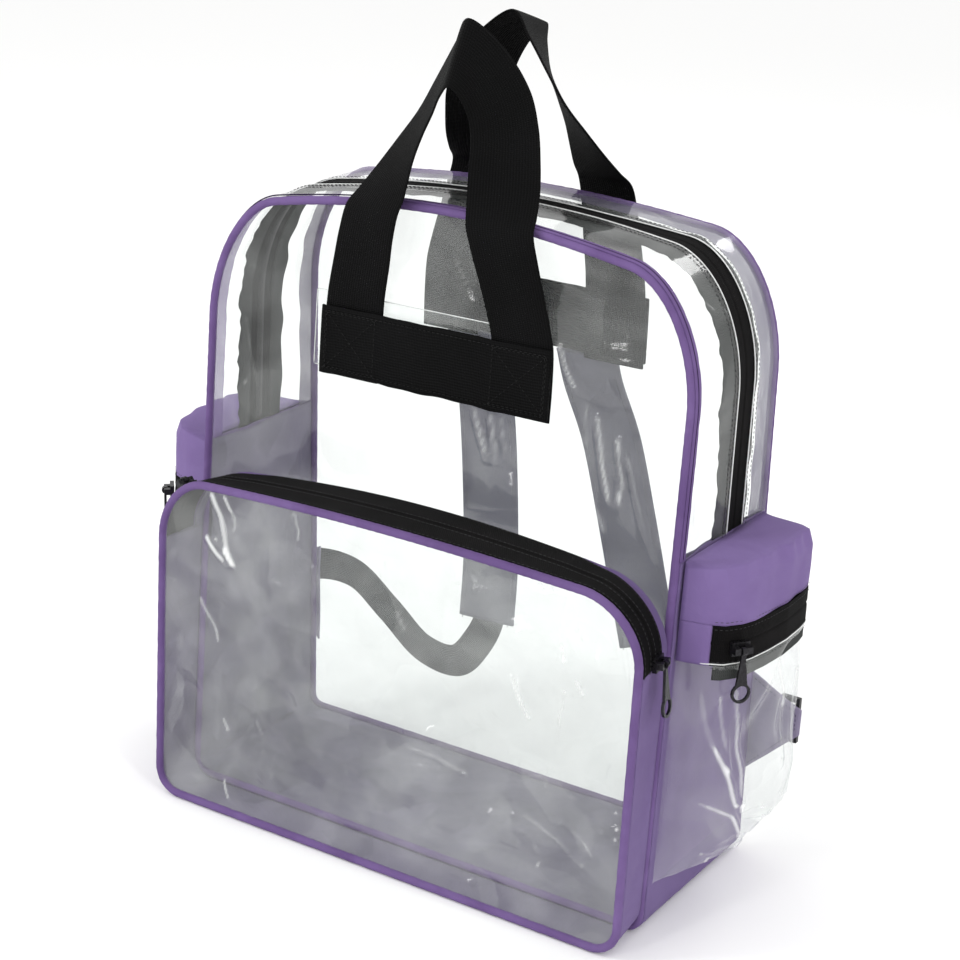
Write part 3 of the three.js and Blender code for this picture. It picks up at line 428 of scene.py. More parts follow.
# Piping: a 5 mm cord in purple cloth round the front, the back and the pocket, sewn in with the panels. The
# cloth puckers a little along the seam, and the seam's shadow on the side of the cord is painted as a dark
# line.
def cloth(name, colour, shade, pitch=0.0009, crease=0.35, thread=0.1, facet_light_share=0.0):
    """Thin plain-woven cloth: threads over and under at the pitch, soft creases with painted shade in their
    hollows, painted light and shade on facets, and cloudy wear.
    """
    made, shader, where, along, across = material(name, Specular_IOR_Level=0.2)
    weave = (along * (2 * np.pi / pitch)).math("SINE") * (across * (2 * np.pi / pitch)).math("SINE")
    folds = where.node("TexNoise", Vector=where, Scale=26.0, Detail=4.0, Roughness=0.6, Distortion=0.8)
    cloudy = where.node("TexNoise", Vector=where, Scale=8.0, Detail=3.0)
    facet_light = where.node("TexVoronoi", output=1, Vector=where, Scale=34.0, Randomness=1.0)
    # The fold noise darkens the colour where it also sinks the bump: painted shade in the creases.
    mixed = folds.ramp(0.3, 0.75) * 0.45 + cloudy.ramp(0.3, 0.7) * 0.4 + weave * thread
    # Facets: cells of painted light and shade, as on the flat patches of buckled cloth.
    mixed = mixed + facet_light * facet_light_share + (0.05 - facet_light_share / 2)
    mixed.tint(shade, colour).feed(shader, "Base Color")
    height = folds * crease + weave * 0.02
    where.node("Bump", Strength=0.7, Distance=0.006, Height=height).feed(shader, "Normal")
    (folds * 0.15 + 0.67).feed(shader, "Roughness")
    return made


def cord_edge(name, runs, depth, node):
    """Cord along a whole outline: a circle swept round it, its radius rippled by the gathers."""
    line = np.concatenate([runs[0], runs[1][1:-1]])
    sides = inward(line, True)
    middle = line + sides * cord_radius
    place = np.arange(len(line)) * 2.4
    a = np.linspace(0, 2 * np.pi, 17)
    gathers = 1 + 0.025 * np.sin(place * 1.7) + 0.02 * np.sin(place * 0.6 + 1)
    radius = ((cord_radius - 0.05) * gathers)[:, None]
    radius = radius * (1 - 0.16 * np.exp(-((np.sin(a) - 1) / 0.12) ** 2))
    x = middle[:, :1] + sides[:, :1] * np.cos(a) * radius
    z = middle[:, 1:] + sides[:, 1:] * np.cos(a) * radius
    y = depth(*middle.T)[:, None] + np.sin(a) * radius
    return skin(name, np.stack([x, y, z], 2), piping_cloth, "purple_piping", node, looped=True)


def pocket_face(x, z):
    """The pocket's front: it leans back towards its top and bellies forward across its middle."""
    belly = pocket_belly * np.cos(np.clip(x / pocket_width, -0.5, 0.5) * np.pi)
    return pocket_foot + pocket_lean * z / pocket_height - belly * np.clip(z / pocket_height, 0, 1)


pocket_width, pocket_height, pocket_zip_end = 336, 222, 168
pocket_foot, pocket_lean, pocket_belly = -96, 9, 15
piping_cloth = cloth("piping_cloth", (0.19, 0.12, 0.30), (0.10, 0.055, 0.17), pitch=0.0008, crease=0.15)
pocket_outer = arch(pocket_width, pocket_height, 38, 50, 18, 12, pocket_zip_end)
pocket_inner = arch(pocket_width - 7.6, pocket_height - 4, 38, 46, 18, 12, pocket_zip_end)
cord_edge("front_cord", body_front, front_face, "front_piping")
cord_edge("back_cord", body_back, back_face, "back_piping")
cord_edge("pocket_cord", pocket_outer, lambda x, z: pocket_face(x, z) + cord_radius, "pocket_piping")


# Upper gusset: two strips of clear vinyl over the sides and top, with the main zip sewn between them. The
# zip's tape lies under the vinyl, its cut edges wavy, and each cut edge of the vinyl shows as a white line.
def body_depths(x, z): return front_at(z), back_at(z)


def gusset(fronts, backs, depths, low, high, rows=10, inset=0.0, ripple=None):
    """A grid over the strip between two outlines, from y low to y high, set in by the inset."""
    start, end = depths(*fronts.T)
    grid = []
    for share in np.linspace(0, 1, rows):
        y = low + (high - low) * share
        deep = ((y - start) / (end - start))[:, None]
        point = fronts + (backs - fronts) * deep
        sides = unit(inward(fronts) * (1 - deep) + inward(backs) * deep)
        fall = inset + (ripple(point[:, 0], y, point[:, 1], share) if ripple else 0)
        point = point + sides * np.reshape(fall, (-1, 1))
        grid.append(np.stack([point[:, 0], y, point[:, 1]], 1))
    return np.transpose(np.array(grid), (1, 0, 2))


def thread(name, lines, look, slot, radius, dash=None, pitch=2.8):
    """Thin round thread along runs of points: whole, or as dashes that taper to a point at both ends."""
    a = np.linspace(0, 2 * np.pi, 6)
    points, faces, base = [], [], 0
    for line in lines:
        line = even(np.asarray(line, float), pitch if dash else 2.0)
        ahead = unit(np.gradient(line, axis=0))
        first = unit(np.cross(ahead, [0.31, 0.42, 0.85]))
        second = np.cross(ahead, first)
        circle = (first[:, None] * np.cos(a)[:, None] + second[:, None] * np.sin(a)[:, None]) * radius
        if dash:
            block = np.stack([(line + ahead * shift * dash)[:, None] + circle * width for shift, width in
                              ((-0.5, 0.05), (-0.35, 0.9), (0.35, 0.9), (0.5, 0.05))], 1)
        else:
            taper = np.ones((len(line), 1, 1))
            taper[[0, -1]] = 0.05
            block = (line[:, None] + circle * taper)[None]
        strands, rings = block.shape[:2]
        s, i, j = np.meshgrid(np.arange(strands), np.arange(rings - 1), np.arange(5), indexing="ij")
        corner = lambda a, b: (base + (s * rings + a) * 6 + b).ravel()
        faces.append(np.stack([corner(i, j), corner(i, j + 1), corner(i + 1, j + 1), corner(i + 1, j)], 1))
        points.append(block.reshape(-1, 3) * 0.001)
        base += len(points[-1])
    return surface(name, np.concatenate(points), np.concatenate(faces), look)


def tape_look(name, dark, light):
    """Woven zip tape: a herringbone of fine threads over the width, speckled with lint."""
    made, shader, where, along, across = material(name, Roughness=0.8, Specular_IOR_Level=0.08)
    grain = where.node("TexNoise", Vector=where, Scale=1400.0, Detail=2.0)
    worn = where.node("TexNoise", Vector=where, Scale=45.0, Detail=3.0)
    slant = (across * 1600.0).math("SINE").math("ABSOLUTE") * 3.0
    herring = ((along * (2 * np.pi / 0.0012)) + slant).math("SINE")
    shade = grain * 0.45 + worn * 0.45 + herring * 0.08
    shade.ramp(0.2, 0.75).tint(dark, light).feed(shader, "Base Color")
    height = herring * 0.3 + grain * 0.4
    where.node("Bump", Strength=0.6, Distance=0.0006, Height=height).feed(shader, "Normal")
    return made


def plain_look(name, colour, rough, level, metal=0.0, speck=0.25):
    """An even finish with fine specks in its colour and gloss."""
    made, shader, where, along, across = material(name, Specular_IOR_Level=level, Metallic=metal)
    specks = where.node("TexNoise", Vector=where, Scale=700.0, Detail=2.0)
    dark = tuple(part * (1 - speck) for part in colour)
    light = tuple(part * (1 + speck) for part in colour)
    specks.ramp(0.35, 0.7).tint(dark, light).feed(shader, "Base Color")
    (specks * 0.2 + (rough - 0.1)).feed(shader, "Roughness")
    where.node("Bump", Strength=0.2, Distance=0.0003, Height=specks).feed(shader, "Normal")
    return made


def upper_strip(low, high, rows, inset, ripple=None, runs=None):
    """A grid over the upper gusset from depth low to depth high: the front and back runs' share of it."""
    return gusset(*(runs or (upper_front, upper_back)), body_depths, low, high, rows, inset, ripple)


def upper_row(depth, inset):
    """One run of points along the upper gusset at this depth."""
    return upper_strip(depth, depth + 0.1, 2, inset)[:, 0]


def zip_share(x):
    """The main zip's place between front and back: nearer the back on the right."""
    return 0.47 + 0.13 * np.clip(0.5 + x / body_width, 0, 1)


tape_half, coil_half, coil_step, coil_pitch, flap_gap = 11, 3, 0.73, 2.2, 1.4
upper_front, upper_back = body_front[0], body_back[0]
x, z = upper_front.T
front_y, back_y = front_at(z), back_at(z)
zip_middle = front_y * (1 - zip_share(x)) + back_y * zip_share(x)
pinch = np.clip((z - 340) / 30, 0, 1) * np.clip((110 - np.abs(x - 20)) / 60, 0, 1)
strip_half = 9.5 - 3.5 * pinch
place = np.arange(len(x)) * 2.6
wavy = waves(place, 0 * place, 61, 5.5, low=9, high=36)
wavy_two = waves(place, 0 * place, 62, 5, low=9, high=36)
zip_black = tape_look("zip_tape_black", (0.001, 0.001, 0.001), (0.007, 0.006, 0.0065))
# The tape under the vinyl: the same black tape lightened to grey, a painted sheen of the vinyl over it.
zip_tape_painted_sheen = tape_look("zip_tape_under_film_painted_sheen", (0.016, 0.018, 0.017), (0.075, 0.078, 0.077))
skin("main_zip", upper_strip(zip_middle - tape_half, zip_middle + tape_half, 23, 1.0,
     lambda x, y, z, share: 0.5 * np.exp(-((share - 0.5) / 0.03) ** 2)), zip_black, "zip_tape",
     "main_zipper", thickness=0.6, flip=True)
right_extra = 5 * np.clip(2 * x / body_width, 0, 1) * np.clip((z - 230) / 60, 0.3, 1)
front_flap = zip_middle - 21 - right_extra + wavy
back_flap = zip_middle + 19 - 5 * x / body_width + wavy_two
for name, low, high in (("front", front_flap, zip_middle - tape_half + flap_gap),
                        ("back", zip_middle + tape_half - flap_gap, back_flap)):
    skin("main_zip_" + name + "_flap", upper_strip(low, high, 6, 1.9), zip_tape_painted_sheen, "zip_tape", thickness=0.4,
         flip=True)
fine = [even(run, coil_step) for run in (upper_front, upper_back)]
fine = [run[:min(len(run) for run in fine)] for run in fine]
fine_x, fine_z = fine[0].T
fine_middle = front_at(fine_z) * (1 - zip_share(fine_x)) + back_at(fine_z) * zip_share(fine_x)
tooth = np.sin(np.arange(len(fine_middle)) * coil_step * 2 * np.pi / coil_pitch)
coil_look = plain_look("zip_coil", (0.014, 0.014, 0.015), 0.45, 0.3)
toothed = lambda x, y, z, share: np.sin(share * np.pi) ** 0.5 * (1.1 + 0.35 * tooth * np.sign(share - 0.5))
skin("main_zip_coil", upper_strip(fine_middle - coil_half, fine_middle + coil_half, 9, 1.5, toothed, fine),
     coil_look, "zip_tape")
gusset_creases = (  # along the outline from its foot on the right, and y
    (0.9, 1.8, (31, 35), (13, 35), (2, 31)), (0.8, 1.6, (48, 39), (24, 38)), (0.9, 1.8, (83, 38), (58, 46)),
    (0.8, 1.6, (26, 53), (0, 48)), (1.0, 2.0, (150, 6), (132, 22), (112, 36)),
    (0.9, 1.8, (170, -14), (152, -2)),
    (0.9, 1.8, (102, -30), (61, -34), (21, -30)), (0.8, 1.7, (128, 30), (140, 48), (150, 55)),
    (0.8, 1.8, (118, -22), (134, -30)), (0.8, 1.8, (210, 34), (228, 46), (240, 52)),
    *stray(77, 9, 4, 200, 26, 56, -0.7), *stray(78, 6, 4, 200, -52, -12, -0.6),
    *stray(79, 9, 420, 620, 16, 56, -0.7),
)
for name, node, low, high, seed in (
    ("gusset_film_front", "gusset_front_strip", front_y + 4, zip_middle - strip_half, 11),
    ("gusset_film_back", "gusset_back_strip", zip_middle + strip_half, back_y - 4, 12),
):
    calm = lambda x, y, z, share, seed=seed: np.sin(share * np.pi) * (
        0.5 + waves(x + z, y, seed, 2.4, low=30) + ridges(place, y, gusset_creases))
    grid = upper_strip(low, high, 36, 0, calm)
    # The strips' creases get painted highlights on their lit flanks.
    skin(name, grid, film, "clear_film", node, flip=True,
         painted_glints=glints(grid, ridges(place[:, None], grid[:, :, 1], gusset_creases)))
gusset_rims, gusset_stitches = [], []
for edge, side in ((zip_middle - strip_half, -1), (zip_middle + strip_half, 1)):
    gusset_rims.append(upper_row(edge, -0.1))
    gusset_stitches += [upper_row(edge + side * away, -0.15) for away in (1.6, 5.0)]
white_rim = plain_look("cut_vinyl", (0.78, 0.79, 0.78), 0.3, 0.5, speck=0.1)
dark_thread = plain_look("dark_thread", (0.05, 0.05, 0.052), 0.7, 0.1)
thread("gusset_cut_edges", gusset_rims, white_rim, "clear_film", radius=0.42)
thread("gusset_stitches", gusset_stitches, dark_thread, "zip_tape", radius=0.2, dash=1.9)


# Seam allowances: the piping's thin cloth turned in along both seams of the clear gusset. Light passes
# through it, so it is paler than the cord, and its inner edge is cut by hand and wavy.
def sheer_look(name, colour, cover):
    """Thin cloth that lets light through: a mix of clear and cloth, a little uneven."""
    made, shader, where, along, across = material(
        name, Base_Color=(*colour, 1), Roughness=0.8, Specular_IOR_Level=0.1)
    weave = (along * 7000.0).math("SINE") * (across * 7000.0).math("SINE")
    cloudy = where.node("TexNoise", Vector=where, Scale=40.0, Detail=3.0)
    where.node("Bump", Strength=0.4, Distance=0.001, Height=weave * 0.2 + cloudy).feed(shader, "Normal")
    covered = cloudy.ramp(0.3, 0.7) * 0.14 + weave * 0.03 + (cover - 0.07)
    lay(made.node_tree, (1, 1, 1), (covered, shader))
    return made


front_sheer = sheer_look("front_seam_cloth", (0.20, 0.12, 0.34), 0.72)
back_sheer = sheer_look("back_seam_cloth", (0.16, 0.14, 0.21), 0.8)
narrow = np.clip(0.5 - x / 200, 0, 1)
cut = front_y + 5.5 + 10 * narrow + wavy * 0.25 * narrow
skin("front_seam_allowance", upper_strip(front_y + 3, cut, 5, 2.2), front_sheer, "purple_cloth", flip=True)
wide = 19 + 3 * np.clip(2 * x / body_width, -0.5, 1)
skin("back_seam_allowance", upper_strip(back_y - wide + wavy_two * 0.6, back_y - 3, 5, 2.2), back_sheer,
     "purple_cloth", flip=True)
bind = upper_strip(front_y + 1.9, front_y + 8.2 + 0.2 * wavy, 9, -0.15,
                   lambda x, y, z, share: -0.35 * np.sin(share * np.pi))
skin("front_seam_binding", bind[x > -40], piping_cloth, "purple_piping", thickness=0.4, flip=True)
seam_shadow_and_tab_thread = plain_look("seam_shadow", (0.03, 0.015, 0.055), 0.8, 0.1)
# A dark thread along the gusset's front seam: painted shadow beside the cord. The same dark finish is real
# thread on the tabs.
thread("front_seam_shadow_line", [upper_row(front_y + 4.6, -0.55)], seam_shadow_and_tab_thread, "purple_piping", radius=0.45)


# Lower gusset: one strip of thin purple cloth up both sides and under the base, coated grey on its inside.
# It is slack, so its outside ripples and its coated side buckles into the bag.
def slack(seed, size, low, high):
    """A ripple of seeded folds that is still at the seams and at the base."""
    return lambda x, y, z, share: (np.sin(share * np.pi) ** 0.7 * np.clip(z / 30, 0, 1)
                                   * (size * 0.35 + waves(z * np.sign(x), y, seed, size, low, high)))


def coated(x, y, z, share):
    """The coating's own folds, one of them a long slant on the left, kept inside the cloth's ripples."""
    folds = np.sin(share * np.pi) ** 0.5 * (3.5 + waves(x + z * np.sign(x), y, 23, 7, 22, 90))
    slant = 5 * np.exp(-(((y + 32) * 0.9 + (z - 133) * 0.42) / 9) ** 2) * (x < -100)
    return np.maximum(folds + slant, body_slack(x, y, z, share))


purple_cloth = cloth("purple_cloth", (0.215, 0.150, 0.345), (0.165, 0.108, 0.27))
# The gussets' cloth: a darker copy of the band purple, which paints the gussets' shade into their colour.
purple_cloth_shaded = cloth("purple_cloth_shaded", (0.183, 0.130, 0.285), (0.138, 0.092, 0.222))
inner_cloth = cloth("coated_cloth", (0.225, 0.203, 0.285), (0.115, 0.102, 0.158), crease=0.5, thread=0.04,
                    facet_light_share=0.5)
under_front, under_back = body_front[1], body_back[1]
body_slack, pocket_slack = slack(21, 4.5, 16, 80), slack(31, 2.6, 15, 70)
under_low, under_high = front_at(under_front[:, 1]) + 4, back_at(under_front[:, 1]) - 4
skin("lower_cloth", gusset(under_front, under_back, body_depths, under_low, under_high, rows=46, inset=0.4,
     ripple=body_slack), purple_cloth_shaded, "purple_cloth", "lower_gusset", thickness=0.7, flip=True)
skin("lower_lining", gusset(under_front, under_back, body_depths, under_low, under_high, rows=60, inset=1.7,
     ripple=coated), inner_cloth, "purple_cloth", thickness=0.3)


# Front pocket: a clear panel that bellies forward, a black zip over its top that ends low at both sides, and
# a purple gusset round its sides and base, coated grey inside.
def pocket_depths(x, z): return pocket_face(x, z), front_at(z) - 0.3


def zip_back(x, z):
    """The pocket zip's back edge: on the bag's front along the top, a tape's width from the face below."""
    rising = np.clip((pocket_width / 2 - np.abs(x)) / (pocket_width / 2 - 110), 0, 1)
    return (pocket_face(x, z) + 29.3) * (1 - rising) + (front_at(z) - 0.6) * rising


pocket_creases = (
    (-1.9, 2.6, (-126, 212), (-120, 198), (-114, 184), (-109, 166)),
    (-1.4, 1.9, (-114, 210), (-109, 200), (-108, 188)),
    (-1.8, 2.4, (-127, 180), (-121, 170), (-114, 164)), (-1.5, 1.9, (-120, 181), (-113, 175), (-111, 165)),
    (-1.4, 2.0, (-58, 213), (-57, 196)), (-1.3, 1.9, (-76, 166), (-66, 164), (-54, 172), (-45, 183)),
    (-1.2, 2.0, (63, 204), (66, 194), (69, 197)), (-1.2, 1.8, (14, 170), (18, 159)),
    (-1.2, 1.8, (-116, 63), (-113, 56)), (-1.2, 1.8, (-115, 22), (-111, 11)),
    (-1.5, 2.2, (28, 90), (46, 87), (62, 83)), (-1.2, 1.8, (27, 78), (44, 81)),
    (-1.4, 2.0, (104, 212), (109, 203), (112, 209)), (-1.2, 1.8, (118, 177), (121, 167)),
    (-1.3, 1.9, (129, 158), (132, 150)), (-1.4, 2.0, (90, 149), (96, 139), (100, 128)),
    (-1.5, 2.0, (155, 190), (160, 167), (162, 154)), (-1.6, 2.3, (129, 88), (143, 84), (159, 79)),
    (-1.3, 1.8, (139, 91), (158, 88)), (-1.3, 1.9, (146, 75), (159, 72)),
    (-1.3, 2.0, (122, 150), (119, 118)), (-1.2, 1.9, (8, 200), (6, 180)),
    (-1.2, 1.9, (64, 62), (100, 66), (140, 50)), (-1.1, 1.8, (-134, 138), (-120, 114)),
    (1.3, 3.6, (-60, 66), (-20, 60), (42, 38), (88, 42), (128, 45)),
    (1.0, 4, (-100, 30), (-40, 22), (30, 18), (120, 16)),
    *stray(75, 8, -150, 150, 20, 205), *stray(76, 4, 90, 158, 40, 200),
)
pocket_vinyl = film_look("pocket_vinyl", 0.04, 0.15)
panel("pocket_film", pocket_outer, lambda x, z: pocket_face(x, z) + cord_radius,
      lambda x, z: 1.6 + waves(x, z, 5, 9) + waves(x, z, 6, 1.6, 14, 40), pocket_creases, pocket_vinyl,
      "pocket_panel", cell=1.25)
top_outer, top_inner = pocket_outer[0], pocket_inner[0]
px, pz = top_outer.T
pocket_low, pocket_high = pocket_face(px, pz) + 4.6, zip_back(px, pz)
pocket_middle = (pocket_low + pocket_high) / 2
skin("pocket_zip", gusset(top_outer, top_inner, pocket_depths, pocket_low, pocket_high, rows=25, inset=0.5,
     ripple=lambda x, y, z, share: 0.7 * np.exp(-((share - 0.5) / 0.025) ** 2)), zip_black, "zip_tape",
     "pocket_zipper", thickness=0.7, flip=True)
rows = [gusset(top_outer, top_inner, pocket_depths, at, at + 0.1, rows=2, inset=0.0)[:, 0]
        for at in (pocket_low + 1.5, pocket_middle - 3.4, pocket_middle + 3.4, pocket_high - 1.5)]
thread("pocket_zip_stitches", rows, dark_thread, "zip_tape", radius=0.18, dash=1.8)
ring_outer, ring_inner = (np.concatenate([top[px < -110], under[1:-1], top[px > 110]])
                          for top, under in (pocket_outer, pocket_inner))
rx, rz = ring_outer.T
starts = np.where(rz > pocket_zip_end, zip_back(rx, rz) + 0.3, pocket_face(rx, rz) + 4.6)
starts, ends = np.minimum(starts, front_at(rz) - 0.8), front_at(rz) - 0.3
pocket_coated = lambda *at: np.maximum(slack(33, 4.5, 20, 70)(*at), pocket_slack(*at))
skin("pocket_cloth", gusset(ring_outer, ring_inner, pocket_depths, starts, ends, rows=22, inset=0.4,
     ripple=pocket_slack), purple_cloth_shaded, "purple_cloth", "pocket_gusset", thickness=0.7, flip=True)
skin("pocket_lining", gusset(ring_outer, ring_inner, pocket_depths, starts, ends, rows=22, inset=1.5,
     ripple=pocket_coated), inner_cloth, "purple_cloth", thickness=0.3)


# Side pockets: a purple cloth band with a gathered top, a short black zip below it, and a clear pouch that
# bellies out. The zip's tape runs on under the top of the vinyl, and its lower corners are tucked.
bulge_along = ((0, 0), (0.03, 0.4), (0.08, 0.65), (0.16, 0.8), (0.25, 0.88), (0.4, 0.95), (0.6, 1),
               (0.8, 0.98), (0.9, 0.94), (0.95, 0.78), (1, 0))
bulge_up = ((0, 0), (0.02, 0.35), (0.06, 0.75), (0.14, 1), (0.94, 1), (0.98, 0.92), (1, 0))
side_foot, side_zip_foot, side_zip_top, side_length = 30, 166, 188.3, 110
right_fullness, left_fullness, side_face, side_lift = 37, 49, 166.9, 5


def side_point(sign, share, z, fall, wrinkle=0):
    """A point of a side pocket: share from front to back, at height z, in from its outer face by fall."""
    fullness = right_fullness if sign > 0 else left_fullness
    front, behind = front_at(z) + 7.3, back_at(z) - 6.8
    y = front + (behind - front) * share
    rising = np.clip((z - side_foot) / (seam_height - side_foot), 0, 1)
    out = np.interp(share, *zip(*bulge_along)) * np.interp(rising, *zip(*bulge_up))
    x = side_face + fullness * out - fall + wrinkle * out
    lift = side_lift * out * np.clip((z - 188) / 34, 0, 1)
    return np.stack([sign * np.maximum(x, side_face - 1.5), y, z + lift], -1)


def side_grid(sign, shares, heights, fall, wrinkle=None):
    share, z = np.meshgrid(shares, heights, indexing="ij")
    return side_point(sign, share, z, fall, wrinkle(share * side_length, z) if wrinkle else 0)


def side_row(sign, shares, height, fall):
    return side_grid(sign, shares, [height], fall)[:, 0]


corner_fine, corner_fine_back = np.linspace(0, 0.1, 18)[:-1], np.linspace(0.9, 1, 22)
shares = np.concatenate([corner_fine, np.linspace(0.1, 0.9, 75)[:-1], corner_fine_back])
pouch_heights = np.concatenate([np.linspace(side_foot, 60, 30)[:-1], np.linspace(60, side_zip_foot, 76)])
band_heights = np.concatenate([np.linspace(side_zip_top, 212, 20)[:-1], np.linspace(212, seam_height, 16)])
zip_shares = np.concatenate([[0.047], shares[shares > 0.05]])
zip_heights = np.linspace(side_zip_foot - 1, side_zip_top - 0.3, 24)
pouch_creases = (
    (1.8, 2.2, (4, 155), (10, 118), (32, 76)), (1.6, 2.0, (21, 150), (28, 111), (38, 73)),
    (1.7, 2.2, (8, 84), (29, 71), (42, 50)), (1.6, 2.0, (12, 52), (42, 48)),
    (1.5, 2.0, (12, 147), (20, 102)), (1.6, 2.2, (65, 57), (99, 50)), (1.5, 2.0, (38, 70), (70, 63)),
    (1.5, 2.0, (74, 150), (80, 120), (76, 84)), (1.5, 2.0, (92, 140), (96, 90), (90, 60)),
    (1.5, 1.8, (44, 47), (48, 34)), (1.5, 1.8, (20, 46), (24, 34)),
    (1.4, 1.8, (70, 46), (66, 34)), (1.4, 1.8, (90, 48), (94, 35)), *stray(80, 6, 6, 104, 40, 150, -0.9),
)
pouch_s, pouch_z = np.meshgrid(shares * side_length, pouch_heights, indexing="ij")
pouch_fade = np.clip((side_zip_foot - pouch_z) / 14, 0, 1) * np.clip((pouch_z - side_foot) / 5, 0, 1)
pouch_sharp = ridges(pouch_s, pouch_z, pouch_creases) * pouch_fade
zip_bulge = 0.8 + 0.6 * np.exp(-((zip_heights - 178) / 0.7) ** 2)


def gathered(seed):
    """The cloth band's soft waves, with close gathers along its top."""
    return lambda s, z: (waves(s, z, seed, 3.0, low=22, high=90) - 0.8
                         + 1.1 * np.sin(s / 3.1 + 1.5 * np.sin(s / 13)) * np.clip((z - 206) / 14, 0, 1))


def creased(seed):
    """The pouch's waves, still at the zip, and its sharp creases."""
    return lambda s, z: ((waves(s, z, seed, 7, low=22, high=80) - 1.5)
                         * np.clip((side_zip_foot - z) / 14, 0, 1) + pouch_sharp)


for sign, hand, seed in ((1, "right", 41), (-1, "left", 47)):
    out = sign > 0
    skin("side_band_" + hand, side_grid(sign, shares, band_heights, 0.8, gathered(seed)), purple_cloth,
         "purple_cloth", "side_pocket_band_" + hand, thickness=0.7, flip=out)
    flap = side_grid(sign, np.linspace(0, 0.045, 8), np.linspace(side_zip_foot - 1, side_zip_top, 16), 0.8)
    skin("side_flap_" + hand, flap, purple_cloth, "purple_cloth", thickness=0.7, flip=out)
    skin("side_zip_" + hand, side_grid(sign, zip_shares, zip_heights, zip_bulge), zip_black, "zip_tape",
         "side_pocket_zipper_" + hand, thickness=0.6, flip=out)
    under = side_grid(sign, zip_shares[zip_shares > 0.058], np.linspace(156.5, 165.6, 8), 1.4)
    # Grey tape: the black tape with the vinyl's sheen painted on.
    skin("side_zip_under_" + hand, under, zip_tape_painted_sheen, "zip_tape", thickness=0.3, flip=out)
    pouch = side_grid(sign, shares, pouch_heights, 0.6, creased(seed + 1))
    # The pouch's creases get painted highlights on their lit flanks.
    skin("side_pouch_" + hand, pouch, pocket_vinyl, "clear_film", "side_pocket_pouch_" + hand, flip=out,
         painted_glints=glints(pouch, pouch_sharp))
    thread("side_cut_edges_" + hand, [side_row(sign, shares[4:-4], side_zip_foot, 0.2)], white_rim,
           "clear_film", radius=0.4)
    sewn = [side_row(sign, zip_shares[1:-3], height, 0.25) for height in (163.5, 167.2, 185.8, 190.0)]
    thread("side_stitches_" + hand, sewn, dark_thread, "zip_tape", radius=0.18, dash=1.8)


# Handles: two loops of 40 mm polypropylene webbing, their legs twisted so that the loops meet edge to edge
# at the top. Each loop's feet are sewn under a band of the same webbing across the panel.
def webbing_look(name, colour, light, rib=0.0016):
    """Ribbed webbing: ribs run along it, crossed by fine picks, with a fuzz of loose fibre."""
    made, shader, where, along, across = material(name, Specular_IOR_Level=0.08)
    ribs = (across * (2 * np.pi / rib)).math("SINE")
    picks = (along * (2 * np.pi / 0.0011)).math("SINE")
    fuzz = where.node("TexNoise", Vector=where, Scale=900.0, Detail=2.0)
    worn = where.node("TexNoise", Vector=where, Scale=30.0, Detail=3.0)
    mixed = ribs * 0.14 + picks * 0.12 + fuzz * 0.2 + worn * 0.55
    mixed.ramp(0.15, 0.75).tint(colour, light).feed(shader, "Base Color")
    height = ribs * 0.5 + picks * 0.35 + fuzz * 0.3
    where.node("Bump", Strength=0.6, Distance=0.0006, Height=height).feed(shader, "Normal")
    (fuzz * 0.2 + 0.62).feed(shader, "Roughness")
    return made


def smooth(rows, per=12):
    """A cubic run through rows of numbers, with even steps between each two."""
    rows = np.array(rows, float)
    at = np.concatenate([[0], np.cumsum(np.linalg.norm(np.diff(rows, axis=0), axis=1) ** 0.5)])
    slope = np.gradient(rows, at, axis=0)
    result = []
    for k in range(len(rows) - 1):
        t = np.linspace(0, 1, per, endpoint=False)[:, None]
        h = at[k + 1] - at[k]
        result.append((2 * t**3 - 3 * t**2 + 1) * rows[k] + (t**3 - 2 * t**2 + t) * h * slope[k]
                      + (3 * t**2 - 2 * t**3) * rows[k + 1] + (t**3 - t**2) * h * slope[k + 1])
    return np.concatenate(result + [rows[-1:]])


def ribbon(name, edge_a, edge_b, thick, look, slot, *nodes, across=14, crown=0.0):
    """A closed flat strap between two edge runs: an oval cut carried along it, fuller by the crown."""
    ahead = np.gradient((edge_a + edge_b) / 2, axis=0)
    wide = edge_a - edge_b
    square = unit(np.cross(ahead, wide))
    turn = np.linspace(0, np.pi, across)
    part = (1 - np.cos(turn)) / 2
    swell = thick / 2 * (0.35 + 0.65 * np.sqrt(np.abs(np.sin(turn)))) + crown * np.sin(part * np.pi)
    over = [edge_b + wide * s + square * h for s, h in zip(part, swell)]
    under = [edge_b + wide * s - square * h for s, h in zip(part[::-1], swell[::-1])]
    ring = np.array(over + under + over[:1])
    grid = np.transpose(ring, (1, 0, 2))
    first, last = (np.repeat(ring.mean(0)[end][None, None], grid.shape[1], 1) for end in (0, -1))
    return skin(name, np.concatenate([first, grid, last]), look, slot, *nodes)


